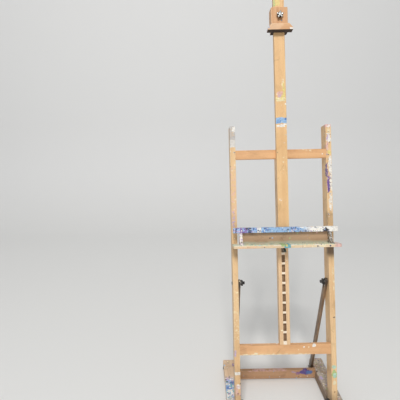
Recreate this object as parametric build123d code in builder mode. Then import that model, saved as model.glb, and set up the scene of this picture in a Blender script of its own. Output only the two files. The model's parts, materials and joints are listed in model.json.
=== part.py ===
# A wooden H-frame studio easel.
# Millimetres, +Z up, +X to the painter's right, the painter stands at -Y.
# The origin is on the floor, at the middle of the whole easel's plan.
import os
from math import atan2, cos, hypot, radians, sin
from build123d import *

os.makedirs("parts", exist_ok=True)

# ---- leaning frame ----
frame_lean = 15.0              # degrees back from upright, as it stands
lean_least = 14.0              # degrees, the most upright setting
lean_most = 24.0               # degrees, the laid-back setting
frame_width = 560.0            # over the outsides of the uprights
upright_width = 30.0
upright_depth = 64.0
upright_top = 1552.0           # along the upright, from the pivot
edge_round = 2.0               # softened long edges of the timber
crossbar_thick = 22.0
upper_bar_bottom = 1366.0
upper_bar_height = 50.0
lower_bar_bottom = 287.0
lower_bar_height = 55.0

# ---- base ----
rail_width = 72.0
rail_height = 64.0
rail_front = 235.0             # ahead of the pivot
rail_rear = 326.0              # behind the pivot
rail_end_round = 22.0
glide_height = 8.0
glide_radius = 16.0
pivot_height = 58.0
housing_play = 4.0             # room round the upright's foot
housing_side_play = 0.5
cross_rail_thick = 20.0
cross_rail_place = 220.0       # its front face, behind the pivot
cross_rail_drop = 3.0          # its top, below the rails' top

# ---- braces ----
brace_thick = 14.0
brace_width = 26.0
brace_foot_back = 275.0        # lower bolt, behind the pivot
brace_foot_height = 45.0
brace_bolt_place = 677.0       # upper bolt, along the upright
brace_side_gap = 0.5
slot_play = 2.5                # slot width over the bolt's diameter
slot_end_room = 3.0            # slot past the bolt at each limit

# ---- bolts, washers and knobs ----
pivot_bolt = 10.0
frame_bolt = 8.0
connector_bolt = 6.0
hole_play = 0.2                # bore over a fixed bolt
running_play = 0.1             # bore over a bolt that a part turns on
turning_gap = 0.3              # between faces that turn on each other
washer_thick = 2.0
bolt_head_rise = 5.0
pivot_knob_size = 44.0
brace_knob_size = 34.0
brace_knob_neck = 10.0
brace_knob_height = 11.0
brace_knob_bite = 6.0          # bolt's end in the knob's head
mast_knob_size = 40.0

# ---- ratchet post ----
post_width = 58.0
post_depth = 34.0
notch_pitch = 54.0
notch_width = 18.0
notch_height = 44.0
notch_depth = 16.0
notch_flat = 28.0              # straight back of a notch, above its sill
post_end_clear = 18.0          # whole wood below the lowest notch
guide_clear = 24.0             # whole wood between the guide bolt and a notch

# ---- mast ----
mast_width = 59.0
mast_thick = 25.0
mast_rest_gap = 6.0            # mast's foot over the carriage block
mast_length = 1405.0
sliding_gap = 0.5              # mast to frame, carriage to post
tee_neck_play = 1.0            # T-slot neck over the bolt
tee_head_play = 2.0            # T-slot over the bolt head's side
tee_depth_play = 1.5           # T-slot over the bolt head's thickness
slot_neck_deep = 6.0
mast_slot_length = 500.0
bolt_head_side = 18.0
bolt_head_thick = 6.5
guide_bolt_place = 1310.0

# ---- top clamp ----
clamp_bottom = 2052.0
lip_height = 35.0
lip_width = 136.0
lip_top_width = 94.0
lip_corner_drop = 24.0
lip_front = 55.0               # ahead of the uprights' front
clamp_block_width = 90.0
clamp_block_height = 98.0
clamp_block_front = 38.0
clamp_back_thick = 12.0
clamp_knob_size = 38.0
clamp_knob_place = 49.0        # knob centre, above the lip
bush_radius = 7.0

# ---- canvas tray ----
shelf_bottom = 887.0           # the tray's place, along the frame
ledge_short = 2.0              # ledge inside the frame's width, at each end
ledge_height = 27.0
ledge_front = 60.0
tray_clear = 61.0              # between shelf and ledge
panel_gap = 1.0                # panel ahead of the mast
panel_thick = 12.0
shelf_long = 2.0               # shelf past the frame's width, at each end
shelf_thick = 17.0
shelf_front = 95.0
bracket_thick = 16.0
bracket_inset = 4.0            # inside the uprights' inner faces
bracket_foot_inset = 4.0
carriage_height = 98.0
cheek_thick = 14.0
carriage_back_thick = 12.0
carriage_block_height = 32.0
screw_shank = 4.0
screw_head = 9.0

# ---- pawl ----
pawl_thick = 12.0
pawl_pin = 4.0
pawl_pivot_out = 16.0          # ahead of the post's face
pawl_pivot_drop = 13.0         # below the shelf
pawl_sill_drop = 26.0          # notch's sill, below the pawl's pin
pawl_reach = 21.0
pawl_rest_angle = 55.0
pawl_nose = 3.0
lug_thick = 2.0

# ---- places worked out from the sizes above ----
half_frame = frame_width / 2
inner_face = half_frame - upright_width
rail_outer = inner_face + rail_width
rail_top = glide_height + rail_height
lean = radians(frame_lean)
half_depth = upright_depth / 2
shelf_top = shelf_bottom + shelf_thick
ledge_bottom = shelf_top + tray_clear
ledge_top = ledge_bottom + ledge_height
ledge_width = frame_width - 2 * ledge_short
shelf_width = frame_width + 2 * shelf_long
bracket_outer = inner_face - bracket_inset
mast_bottom = shelf_bottom + carriage_block_height + mast_rest_gap
mast_top = mast_bottom + mast_length
mast_back = sliding_gap
mast_front = mast_back + mast_thick
panel_back = mast_front + panel_gap

# the plan's middle lies at y = 0, between the rail's front and the mast's top
rear_reach = mast_top * sin(lean) - (half_depth + mast_back) * cos(lean)
pivot_y = (rail_front - rear_reach) / 2

along_frame = Vector(0, sin(lean), cos(lean))
out_of_frame = Vector(0, -cos(lean), sin(lean))
pivot_point = Vector(0, pivot_y, pivot_height)
frame_origin = pivot_point + out_of_frame * half_depth
frame_axis = Axis((0, 0, 0), tuple(along_frame))
out_axis = Axis((0, 0, 0), tuple(out_of_frame))


def face_plane(out):
    """Plane parallel to the frame, 'out' ahead of its front: x across, y up the frame."""
    return Plane(origin=frame_origin + out_of_frame * out, x_dir=(1, 0, 0), z_dir=out_of_frame)


def side_plane(across):
    """Plane across the frame: x is depth behind the uprights' front, y is up the frame."""
    return Plane(origin=frame_origin + Vector(across, 0, 0), x_dir=-out_of_frame, z_dir=(1, 0, 0))


def cut_plane(along):
    """Plane square to the uprights: x across, y is depth behind the uprights' front."""
    return Plane(origin=frame_origin + along_frame * along, x_dir=(1, 0, 0), z_dir=along_frame)


# the brace runs from its foot bolt to the bolt in the upright
brace_foot = Vector(0, pivot_y + brace_foot_back, brace_foot_height)


def brace_span(lean_degrees):
    turned = radians(lean_degrees)
    up = pivot_height + brace_bolt_place * cos(turned) - brace_foot_height
    back = brace_bolt_place * sin(turned) - brace_foot_back
    return up, back


brace_up, brace_back = brace_span(frame_lean)
brace_turn = atan2(-brace_back, brace_up)
brace_along = Vector(0, -sin(brace_turn), cos(brace_turn))
brace_across = Vector(0, cos(brace_turn), sin(brace_turn))
slot_top = hypot(*brace_span(lean_least)) + slot_end_room
slot_bottom = hypot(*brace_span(lean_most)) - slot_end_room


def brace_plane(across):
    return Plane(origin=brace_foot + Vector(across, 0, 0), x_dir=brace_across, z_dir=(1, 0, 0))


# ================= base =================
housing_front = half_depth + housing_play
steepest = radians(lean_most)
housing_rear = (half_depth + (rail_top - pivot_height) * sin(steepest)) / cos(steepest) + housing_play
housing_floor = pivot_height - half_depth - housing_play
rail_length = rail_front + rail_rear
rail_middle = pivot_y + (rail_rear - rail_front) / 2
cross_rail_y = pivot_y + cross_rail_place + cross_rail_thick / 2
cross_rail_top = rail_top - cross_rail_drop
cross_rail_height = rail_height - cross_rail_drop
connector_spread = cross_rail_height / 2
connector_length = 40.0
connector_head = 7.0
connector_head_thick = 3.0

for side, rail_name in ((-1, "left_base_rail"), (1, "right_base_rail")):
    with BuildPart() as base_rail:
        with BuildSketch(Plane.YZ.offset(min(side * inner_face, side * rail_outer))):
            with Locations((rail_middle, glide_height + rail_height / 2)):
                Rectangle(rail_length, rail_height)
        extrude(amount=rail_width)
        fillet(base_rail.edges().filter_by(Axis.X).group_by(Axis.Z)[-1], rail_end_round)
        fillet(base_rail.edges().filter_by(Axis.Y), edge_round)
        # the open-topped housing that the upright's foot stands in
        housing_deep = upright_width + housing_side_play
        with BuildSketch(Plane.YZ.offset(min(side * inner_face, side * (inner_face + housing_deep)))):
            with Locations((pivot_y - housing_front, housing_floor)):
                Rectangle(housing_front + housing_rear, rail_height, align=(Align.MIN, Align.MIN))
        extrude(amount=housing_deep, mode=Mode.SUBTRACT)
        # bolt holes right across the rail
        with BuildSketch(Plane.YZ.offset(-rail_outer)):
            with Locations((pivot_y, pivot_height)):
                Circle((pivot_bolt + hole_play) / 2)
            with Locations((pivot_y + brace_foot_back, brace_foot_height)):
                Circle((frame_bolt + hole_play) / 2)
            with Locations((cross_rail_y, cross_rail_top - cross_rail_height / 2)):
                with GridLocations(0, connector_spread, 1, 2):
                    Circle((connector_bolt + hole_play) / 2)
        extrude(amount=2 * rail_outer, mode=Mode.SUBTRACT)
        # flat recesses for the connector bolts' heads
        with BuildSketch(Plane.YZ.offset(side * rail_outer)):
            with Locations((cross_rail_y, cross_rail_top - cross_rail_height / 2)):
                with GridLocations(0, connector_spread, 1, 2):
                    Circle(connector_head + hole_play)
        extrude(amount=-side * connector_head_thick, mode=Mode.SUBTRACT)
    base_rail.part.label = rail_name
    export_step(base_rail.part, f"parts/{rail_name}.step")

with BuildPart() as rear_cross_rail:
    with BuildSketch(Plane.XY.offset(glide_height)):
        with Locations((0, cross_rail_y)):
            Rectangle(2 * inner_face, cross_rail_thick)
    extrude(amount=cross_rail_height)
    fillet(rear_cross_rail.edges().filter_by(Axis.X), edge_round)
    with BuildSketch(Plane.YZ.offset(-inner_face)):
        with Locations((cross_rail_y, cross_rail_top - cross_rail_height / 2)):
            with GridLocations(0, connector_spread, 1, 2):
                Circle((connector_bolt + hole_play) / 2)
    extrude(amount=connector_length, mode=Mode.SUBTRACT)
    with BuildSketch(Plane.YZ.offset(inner_face)):
        with Locations((cross_rail_y, cross_rail_top - cross_rail_height / 2)):
            with GridLocations(0, connector_spread, 1, 2):
                Circle((connector_bolt + hole_play) / 2)
    extrude(amount=-connector_length, mode=Mode.SUBTRACT)
rear_cross_rail.part.label = "rear_cross_rail"
export_step(rear_cross_rail.part, "parts/rear_cross_rail.step")

with BuildPart() as cross_rail_bolts:
    for side in (-1, 1):
        with BuildSketch(Plane.YZ.offset(side * rail_outer)):
            with Locations((cross_rail_y, cross_rail_top - cross_rail_height / 2)):
                with GridLocations(0, connector_spread, 1, 2):
                    Circle(connector_head)
        extrude(amount=-side * connector_head_thick)
        with BuildSketch(Plane.YZ.offset(side * (rail_outer - connector_head_thick))):
            with Locations((cross_rail_y, cross_rail_top - cross_rail_height / 2)):
                with GridLocations(0, connector_spread, 1, 2):
                    Circle(connector_bolt / 2)
        extrude(amount=-side * (rail_width - connector_head_thick + connector_length - 2))
        with BuildSketch(Plane.YZ.offset(side * rail_outer)):
            with Locations((cross_rail_y, cross_rail_top - cross_rail_height / 2)):
                with GridLocations(0, connector_spread, 1, 2):
                    RegularPolygon(2.5, 6)
        extrude(amount=-side * 2, mode=Mode.SUBTRACT)
cross_rail_bolts.part.label = "cross_rail_bolts"
export_step(cross_rail_bolts.part, "parts/cross_rail_bolts.step")

glide_inset = 40.0
with BuildPart() as floor_glides:
    with BuildSketch(Plane.XY):
        for across in (-1, 1):
            for along in (pivot_y - rail_front + glide_inset, pivot_y + rail_rear - glide_inset):
                with Locations((across * (inner_face + rail_width / 2), along)):
                    Circle(glide_radius)
    extrude(amount=glide_height)
    chamfer(floor_glides.faces().sort_by(Axis.Z)[0].edges(), 1.5)
floor_glides.part.label = "floor_glides"
export_step(floor_glides.part, "parts/floor_glides.step")

# carriage bolts of the main pivot: domed head outside, shank through rail, upright and knob
knob_bore_deep = 16.0
pivot_knob_face = inner_face - 2 * turning_gap - washer_thick
with BuildPart() as pivot_bolts:
    for side in (-1, 1):
        with BuildSketch(Plane.YZ.offset(side * rail_outer)):
            with Locations((pivot_y, pivot_height)):
                Circle(1.2 * pivot_bolt)
        extrude(amount=side * bolt_head_rise, taper=25)
        with BuildSketch(Plane.YZ.offset(side * rail_outer)):
            with Locations((pivot_y, pivot_height)):
                Circle(pivot_bolt / 2)
        extrude(amount=-side * (rail_outer - pivot_knob_face + knob_bore_deep))
pivot_bolts.part.label = "pivot_bolts"
export_step(pivot_bolts.part, "parts/pivot_bolts.step")

with BuildPart() as pivot_washers:
    for side in (-1, 1):
        with BuildSketch(Plane.YZ.offset(side * (inner_face - turning_gap))):
            with Locations((pivot_y, pivot_height)):
                Circle(1.3 * pivot_bolt)
                Circle((pivot_bolt + hole_play) / 2, mode=Mode.SUBTRACT)
        extrude(amount=-side * washer_thick)
pivot_washers.part.label = "pivot_washers"
export_step(pivot_washers.part, "parts/pivot_washers.step")

brace_inner = inner_face - brace_side_gap - brace_thick
foot_nut_thick = 7.0
with BuildPart() as brace_foot_bolts:
    for side in (-1, 1):
        with BuildSketch(Plane.YZ.offset(side * rail_outer)):
            with Locations((brace_foot.Y, brace_foot.Z)):
                Circle(1.2 * frame_bolt)
        extrude(amount=side * bolt_head_rise, taper=25)
        with BuildSketch(Plane.YZ.offset(side * rail_outer)):
            with Locations((brace_foot.Y, brace_foot.Z)):
                Circle(frame_bolt / 2)
        extrude(amount=-side * (rail_outer - brace_inner + washer_thick + foot_nut_thick))
brace_foot_bolts.part.label = "brace_foot_bolts"
export_step(brace_foot_bolts.part, "parts/brace_foot_bolts.step")

with BuildPart() as brace_foot_nuts:
    for side in (-1, 1):
        with BuildSketch(Plane.YZ.offset(side * (brace_inner - turning_gap))):
            with Locations((brace_foot.Y, brace_foot.Z)):
                Circle(1.2 * frame_bolt)
                Circle((frame_bolt + hole_play) / 2, mode=Mode.SUBTRACT)
        extrude(amount=-side * washer_thick)
        with BuildSketch(Plane.YZ.offset(side * (brace_inner - turning_gap - washer_thick))):
            with Locations((brace_foot.Y, brace_foot.Z)):
                RegularPolygon(0.92 * frame_bolt, 6)
                Circle((frame_bolt + hole_play) / 2, mode=Mode.SUBTRACT)
        extrude(amount=-side * (foot_nut_thick - turning_gap))
brace_foot_nuts.part.label = "brace_foot_nuts"
export_step(brace_foot_nuts.part, "parts/brace_foot_nuts.step")

# ================= knobs =================
knob_head_share = 0.62         # of the knob's height, the rest is its hub


def knob_outline(size, lobes):
    """Round knob head with shallow finger lobes, in the current sketch."""
    Circle(0.42 * size)
    with PolarLocations(0.36 * size, lobes):
        Circle(0.14 * size)


pivot_knob_height = 26.0
for side, knob_name in ((-1, "left_pivot_knob"), (1, "right_pivot_knob")):
    with BuildPart() as pivot_knob:
        hub_height = pivot_knob_height * (1 - knob_head_share)
        with BuildSketch(Plane.YZ.offset(side * pivot_knob_face)):
            with Locations((pivot_y, pivot_height)):
                Circle(0.27 * pivot_knob_size)
        extrude(amount=-side * hub_height)
        with BuildSketch(Plane.YZ.offset(side * (pivot_knob_face - hub_height))):
            with Locations((pivot_y, pivot_height)):
                knob_outline(pivot_knob_size, 6)
        extrude(amount=-side * (pivot_knob_height - hub_height))
        fillet(pivot_knob.faces().sort_by(Axis.X)[-1 if side < 0 else 0].edges(), 2.5)
        with BuildSketch(Plane.YZ.offset(side * pivot_knob_face)):
            with Locations((pivot_y, pivot_height)):
                Circle((pivot_bolt + running_play) / 2)
        extrude(amount=-side * (knob_bore_deep + 2), mode=Mode.SUBTRACT)
    pivot_knob.part.label = knob_name
    export_step(pivot_knob.part, f"parts/{knob_name}.step")

# ================= leaning frame =================
bar_joints = (upper_bar_bottom + upper_bar_height / 2, lower_bar_bottom + lower_bar_height / 2)
bar_bolt_spread = 24.0
front_hole_place = 78.0
front_hole = 8.0

for side, upright_name in ((-1, "left_upright"), (1, "right_upright")):
    with BuildPart() as upright:
        with BuildSketch(side_plane(min(side * inner_face, side * half_frame))):
            with Locations((half_depth, upright_top / 2)):
                Rectangle(upright_depth, upright_top)
            with Locations((half_depth, 0)):
                Circle(half_depth)
        extrude(amount=upright_width)
        top_edges = upright.faces().sort_by(frame_axis)[-1].edges()
        fillet(top_edges.filter_by(Axis.X), 6)
        fillet(upright.edges().filter_by(frame_axis), edge_round)
        with BuildSketch(side_plane(-half_frame)):
            with Locations((half_depth, 0)):
                Circle((pivot_bolt + running_play) / 2)
            with Locations((half_depth, brace_bolt_place)):
                Circle((frame_bolt + hole_play) / 2)
            for joint in bar_joints:
                with Locations((crossbar_thick / 2, joint)):
                    with GridLocations(0, bar_bolt_spread, 1, 2):
                        Circle((connector_bolt + hole_play) / 2)
        extrude(amount=frame_width, mode=Mode.SUBTRACT)
        with BuildSketch(side_plane(side * half_frame)):
            for joint in bar_joints:
                with Locations((crossbar_thick / 2, joint)):
                    with GridLocations(0, bar_bolt_spread, 1, 2):
                        Circle(connector_head + hole_play)
        extrude(amount=-side * connector_head_thick, mode=Mode.SUBTRACT)
        # the small peg hole in the front, above the pivot
        with BuildSketch(face_plane(0)):
            with Locations((side * (half_frame - upright_width / 2), front_hole_place)):
                Circle(front_hole / 2)
        extrude(amount=-14, mode=Mode.SUBTRACT)
    upright.part.label = upright_name
    export_step(upright.part, f"parts/{upright_name}.step")

post_bottom = lower_bar_bottom + lower_bar_height
post_length = upper_bar_bottom - post_bottom
notch_sill = shelf_bottom - pawl_pivot_drop - pawl_sill_drop
notches_below = int((notch_sill - post_bottom - post_end_clear) // notch_pitch)
notches_above = int((guide_bolt_place - guide_clear - notch_height - notch_sill) // notch_pitch)
dowel_radius = 5.0
dowel_play = 0.05
dowel_half = 20.0
dowel_spread = 30.0

for bar_name, bottom, height, post_end in (
        ("upper_crossbar", upper_bar_bottom, upper_bar_height, post_bottom + post_length),
        ("lower_crossbar", lower_bar_bottom, lower_bar_height, post_bottom)):
    with BuildPart() as crossbar:
        with BuildSketch(face_plane(-crossbar_thick)):
            with Locations((0, bottom + height / 2)):
                Rectangle(2 * inner_face, height)
        extrude(amount=crossbar_thick)
        fillet(crossbar.edges().filter_by(Axis.X), edge_round)
        for side in (-1, 1):
            with BuildSketch(side_plane(side * inner_face)):
                with Locations((crossbar_thick / 2, bottom + height / 2)):
                    with GridLocations(0, bar_bolt_spread, 1, 2):
                        Circle((connector_bolt + hole_play) / 2)
            extrude(amount=-side * connector_length, mode=Mode.SUBTRACT)
        if bar_name == "upper_crossbar":
            with BuildSketch(face_plane(0)):
                with Locations((0, bottom + height / 2)):
                    Circle((frame_bolt + hole_play) / 2)
            extrude(amount=-crossbar_thick, mode=Mode.SUBTRACT)
        # dowel holes where the ratchet post meets the bar
        with BuildSketch(cut_plane(post_end)):
            with Locations((0, crossbar_thick / 2)):
                with GridLocations(dowel_spread, 0, 2, 1):
                    Circle(dowel_radius + dowel_play)
        extrude(amount=dowel_half, both=True, mode=Mode.SUBTRACT)
    crossbar.part.label = bar_name
    export_step(crossbar.part, f"parts/{bar_name}.step")

with BuildPart() as crossbar_bolts:
    for side in (-1, 1):
        for joint in bar_joints:
            with BuildSketch(side_plane(side * half_frame)):
                with Locations((crossbar_thick / 2, joint)):
                    with GridLocations(0, bar_bolt_spread, 1, 2):
                        Circle(connector_head)
            extrude(amount=-side * connector_head_thick)
            with BuildSketch(side_plane(side * (half_frame - connector_head_thick))):
                with Locations((crossbar_thick / 2, joint)):
                    with GridLocations(0, bar_bolt_spread, 1, 2):
                        Circle(connector_bolt / 2)
            extrude(amount=-side * (upright_width - connector_head_thick + connector_length - 2))
            with BuildSketch(side_plane(side * half_frame)):
                with Locations((crossbar_thick / 2, joint)):
                    with GridLocations(0, bar_bolt_spread, 1, 2):
                        RegularPolygon(2.5, 6)
            extrude(amount=-side * 2, mode=Mode.SUBTRACT)
crossbar_bolts.part.label = "crossbar_bolts"
export_step(crossbar_bolts.part, "parts/crossbar_bolts.step")

# the ratchet post stands between the crossbars, its notches open to the front
with BuildPart() as ratchet_post:
    with BuildSketch(face_plane(-post_depth)):
        with Locations((0, post_bottom + post_length / 2)):
            Rectangle(post_width, post_length)
    extrude(amount=post_depth)
    fillet(ratchet_post.edges().filter_by(frame_axis), edge_round)
    with BuildSketch(side_plane(-notch_width / 2)):
        for step in range(-notches_below, notches_above + 1):
            sill = notch_sill + step * notch_pitch
            Polygon((-1, sill), (notch_depth, sill), (notch_depth, sill + notch_flat),
                    (-1, sill + notch_height + 1), align=None)
    extrude(amount=notch_width, mode=Mode.SUBTRACT)
    with BuildSketch(face_plane(0)):
        with Locations((0, guide_bolt_place)):
            Circle((frame_bolt + hole_play) / 2)
    extrude(amount=-post_depth, mode=Mode.SUBTRACT)
    for end, into in ((post_bottom, dowel_half), (post_bottom + post_length, -dowel_half)):
        with BuildSketch(cut_plane(end)):
            with Locations((0, crossbar_thick / 2)):
                with GridLocations(dowel_spread, 0, 2, 1):
                    Circle(dowel_radius + dowel_play)
        extrude(amount=into, mode=Mode.SUBTRACT)
ratchet_post.part.label = "ratchet_post"
export_step(ratchet_post.part, "parts/ratchet_post.step")

with BuildPart() as post_dowels:
    for end in (post_bottom, post_bottom + post_length):
        with BuildSketch(cut_plane(end)):
            with Locations((0, crossbar_thick / 2)):
                with GridLocations(dowel_spread, 0, 2, 1):
                    Circle(dowel_radius)
        extrude(amount=dowel_half, both=True)
post_dowels.part.label = "post_dowels"
export_step(post_dowels.part, "parts/post_dowels.step")

# bolts that clamp the braces to the uprights
brace_knob_face = brace_inner - 2 * turning_gap - washer_thick
with BuildPart() as brace_bolts:
    for side in (-1, 1):
        with BuildSketch(side_plane(side * half_frame)):
            with Locations((half_depth, brace_bolt_place)):
                Circle(1.2 * frame_bolt)
        extrude(amount=side * bolt_head_rise, taper=25)
        with BuildSketch(side_plane(side * half_frame)):
            with Locations((half_depth, brace_bolt_place)):
                Circle(frame_bolt / 2)
        extrude(amount=-side * (half_frame - brace_knob_face + brace_knob_neck + brace_knob_bite))
brace_bolts.part.label = "brace_bolts"
export_step(brace_bolts.part, "parts/brace_bolts.step")

with BuildPart() as brace_washers:
    for side in (-1, 1):
        with BuildSketch(side_plane(side * (brace_inner - turning_gap))):
            with Locations((half_depth, brace_bolt_place)):
                Circle(1.4 * frame_bolt)
                Circle((frame_bolt + hole_play) / 2, mode=Mode.SUBTRACT)
        extrude(amount=-side * washer_thick)
brace_washers.part.label = "brace_washers"
export_step(brace_washers.part, "parts/brace_washers.step")

for side, knob_name in ((-1, "left_brace_knob"), (1, "right_brace_knob")):
    with BuildPart() as brace_knob:
        with BuildSketch(side_plane(side * brace_knob_face)):
            with Locations((half_depth, brace_bolt_place)):
                Circle(0.24 * brace_knob_size)
        extrude(amount=-side * brace_knob_neck)
        with BuildSketch(side_plane(side * (brace_knob_face - brace_knob_neck))):
            with Locations((half_depth, brace_bolt_place)):
                knob_outline(brace_knob_size, 8)
        extrude(amount=-side * brace_knob_height)
        fillet(brace_knob.faces().sort_by(Axis.X)[-1 if side < 0 else 0].edges(), 2.5)
        with BuildSketch(side_plane(side * brace_knob_face)):
            with Locations((half_depth, brace_bolt_place)):
                Circle((frame_bolt + running_play) / 2)
        extrude(amount=-side * (brace_knob_neck + brace_knob_bite + 1), mode=Mode.SUBTRACT)
    brace_knob.part.label = knob_name
    export_step(brace_knob.part, f"parts/{knob_name}.step")

for side, brace_name in ((-1, "left_brace"), (1, "right_brace")):
    with BuildPart() as brace:
        near = side * (inner_face - brace_side_gap)
        far = side * brace_inner
        with BuildSketch(brace_plane(min(near, far))):
            with Locations((0, slot_top / 2)):
                SlotCenterToCenter(slot_top, brace_width, rotation=90)
            with Locations((0, (slot_top + slot_bottom) / 2)):
                SlotCenterToCenter(slot_top - slot_bottom, frame_bolt + slot_play, rotation=90,
                                   mode=Mode.SUBTRACT)
            Circle((frame_bolt + running_play) / 2, mode=Mode.SUBTRACT)
        extrude(amount=brace_thick)
    brace.part.label = brace_name
    export_step(brace.part, f"parts/{brace_name}.step")

# ================= mast =================
slot_neck = frame_bolt + tee_neck_play
slot_head = bolt_head_side + tee_head_play
slot_head_deep = bolt_head_thick + tee_depth_play
with BuildPart() as mast:
    with BuildSketch(face_plane(mast_back)):
        with Locations((0, mast_bottom + mast_length / 2)):
            Rectangle(mast_width, mast_length)
    extrude(amount=mast_thick)
    fillet(mast.edges().filter_by(frame_axis), edge_round)
    # the T-slot up its back
    with BuildSketch(cut_plane(mast_bottom)):
        with Locations((0, -mast_back - slot_neck_deep / 2)):
            Rectangle(slot_neck, slot_neck_deep)
        with Locations((0, -mast_back - slot_neck_deep - slot_head_deep / 2)):
            Rectangle(slot_head, slot_head_deep)
    extrude(amount=mast_slot_length, mode=Mode.SUBTRACT)
mast.part.label = "mast"
export_step(mast.part, "parts/mast.step")

# T-bolts: the upper one is the mast's clamp, the lower one only guides it
head_back = mast_back + slot_neck_deep + (slot_head_deep - bolt_head_thick) / 2
mast_bolt_place = upper_bar_bottom + upper_bar_height / 2
mast_knob_face = -crossbar_thick - washer_thick - turning_gap
guide_nut_thick = 7.0
for bolt_name, place, tail in (("mast_bolt", mast_bolt_place, -mast_knob_face + 18),
                               ("guide_bolt", guide_bolt_place,
                                post_depth + washer_thick + guide_nut_thick)):
    with BuildPart() as tee_bolt:
        with BuildSketch(face_plane(head_back)):
            with Locations((0, place)):
                Rectangle(bolt_head_side, bolt_head_side)
        extrude(amount=bolt_head_thick)
        with BuildSketch(face_plane(head_back)):
            with Locations((0, place)):
                Circle(frame_bolt / 2)
        extrude(amount=-head_back - tail)
    tee_bolt.part.label = bolt_name
    export_step(tee_bolt.part, f"parts/{bolt_name}.step")

with BuildPart() as mast_washers:
    for place, back in ((mast_bolt_place, crossbar_thick), (guide_bolt_place, post_depth)):
        with BuildSketch(face_plane(-back)):
            with Locations((0, place)):
                Circle(1.4 * frame_bolt)
                Circle((frame_bolt + hole_play) / 2, mode=Mode.SUBTRACT)
        extrude(amount=-washer_thick)
mast_washers.part.label = "mast_washers"
export_step(mast_washers.part, "parts/mast_washers.step")

with BuildPart() as guide_nut:
    with BuildSketch(face_plane(-post_depth - washer_thick)):
        with Locations((0, guide_bolt_place)):
            RegularPolygon(0.92 * frame_bolt, 6)
            Circle((frame_bolt + hole_play) / 2, mode=Mode.SUBTRACT)
    extrude(amount=-guide_nut_thick)
guide_nut.part.label = "guide_nut"
export_step(guide_nut.part, "parts/guide_nut.step")

mast_knob_height = 28.0
with BuildPart() as mast_knob:
    mast_hub = mast_knob_height * (1 - knob_head_share)
    with BuildSketch(face_plane(mast_knob_face)):
        with Locations((0, mast_bolt_place)):
            Circle(0.27 * mast_knob_size)
    extrude(amount=-mast_hub)
    with BuildSketch(face_plane(mast_knob_face - mast_hub)):
        with Locations((0, mast_bolt_place)):
            knob_outline(mast_knob_size, 6)
    extrude(amount=mast_hub - mast_knob_height)
    fillet(mast_knob.faces().sort_by(out_axis)[0].edges(), 2.5)
    with BuildSketch(face_plane(mast_knob_face)):
        with Locations((0, mast_bolt_place)):
            Circle((frame_bolt + running_play) / 2)
    extrude(amount=-20, mode=Mode.SUBTRACT)
mast_knob.part.label = "mast_knob"
export_step(mast_knob.part, "parts/mast_knob.step")

# ================= top clamp =================
wrap_gap = 0.4
lip_top = clamp_bottom + lip_height
block_top = lip_top + clamp_block_height
block_back = mast_front + wrap_gap
cheek_inner = mast_width / 2 + sliding_gap
clamp_cheek_thick = clamp_block_width / 2 - cheek_inner
clamp_rear = mast_back - wrap_gap
knob_place = lip_top + clamp_knob_place

with BuildPart() as clamp_front:
    with BuildSketch(face_plane(block_back)):
        with Locations((0, (lip_top + block_top) / 2)):
            Rectangle(clamp_block_width, block_top - lip_top)
    extrude(amount=clamp_block_front - block_back)
    fillet(clamp_front.edges().filter_by(out_axis).group_by(frame_axis)[-1], 5)
    fillet(clamp_front.faces().sort_by(out_axis)[-1].edges(), 1.5)
    with BuildSketch(face_plane(clamp_block_front)):
        with Locations((0, knob_place)):
            Circle(bush_radius)
    extrude(amount=block_back - clamp_block_front, mode=Mode.SUBTRACT)
clamp_front.part.label = "clamp_front"
export_step(clamp_front.part, "parts/clamp_front.step")

with BuildPart() as clamp_lip:
    with BuildSketch(face_plane(block_back)):
        Polygon((-lip_width / 2, clamp_bottom), (lip_width / 2, clamp_bottom),
                (lip_width / 2, lip_top - lip_corner_drop), (lip_top_width / 2, lip_top),
                (-lip_top_width / 2, lip_top), (-lip_width / 2, lip_top - lip_corner_drop),
                align=None)
    extrude(amount=lip_front - block_back)
    fillet(clamp_lip.edges().filter_by(out_axis), edge_round)
clamp_lip.part.label = "clamp_lip"
export_step(clamp_lip.part, "parts/clamp_lip.step")

for side, cheek_name in ((-1, "clamp_left_cheek"), (1, "clamp_right_cheek")):
    with BuildPart() as clamp_cheek:
        with BuildSketch(face_plane(clamp_rear)):
            with Locations((side * (cheek_inner + clamp_cheek_thick / 2), (clamp_bottom + block_top) / 2)):
                Rectangle(clamp_cheek_thick, block_top - clamp_bottom)
        extrude(amount=block_back - clamp_rear)
    clamp_cheek.part.label = cheek_name
    export_step(clamp_cheek.part, f"parts/{cheek_name}.step")

clamp_screw_spread = 2 * cheek_inner + clamp_cheek_thick
clamp_screw_rows = 70.0
clamp_screw_length = 28.0
with BuildPart() as clamp_back:
    with BuildSketch(face_plane(clamp_rear)):
        with Locations((0, (lip_top + block_top) / 2)):
            Rectangle(clamp_block_width, block_top - lip_top)
    extrude(amount=-clamp_back_thick)
    fillet(clamp_back.faces().sort_by(out_axis)[0].edges(), 2)
    with BuildSketch(face_plane(clamp_rear)):
        with Locations((0, (lip_top + block_top) / 2)):
            with GridLocations(clamp_screw_spread, clamp_screw_rows, 2, 2):
                Circle((screw_shank + hole_play) / 2)
    extrude(amount=-clamp_back_thick, mode=Mode.SUBTRACT)
clamp_back.part.label = "clamp_back"
export_step(clamp_back.part, "parts/clamp_back.step")

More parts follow.
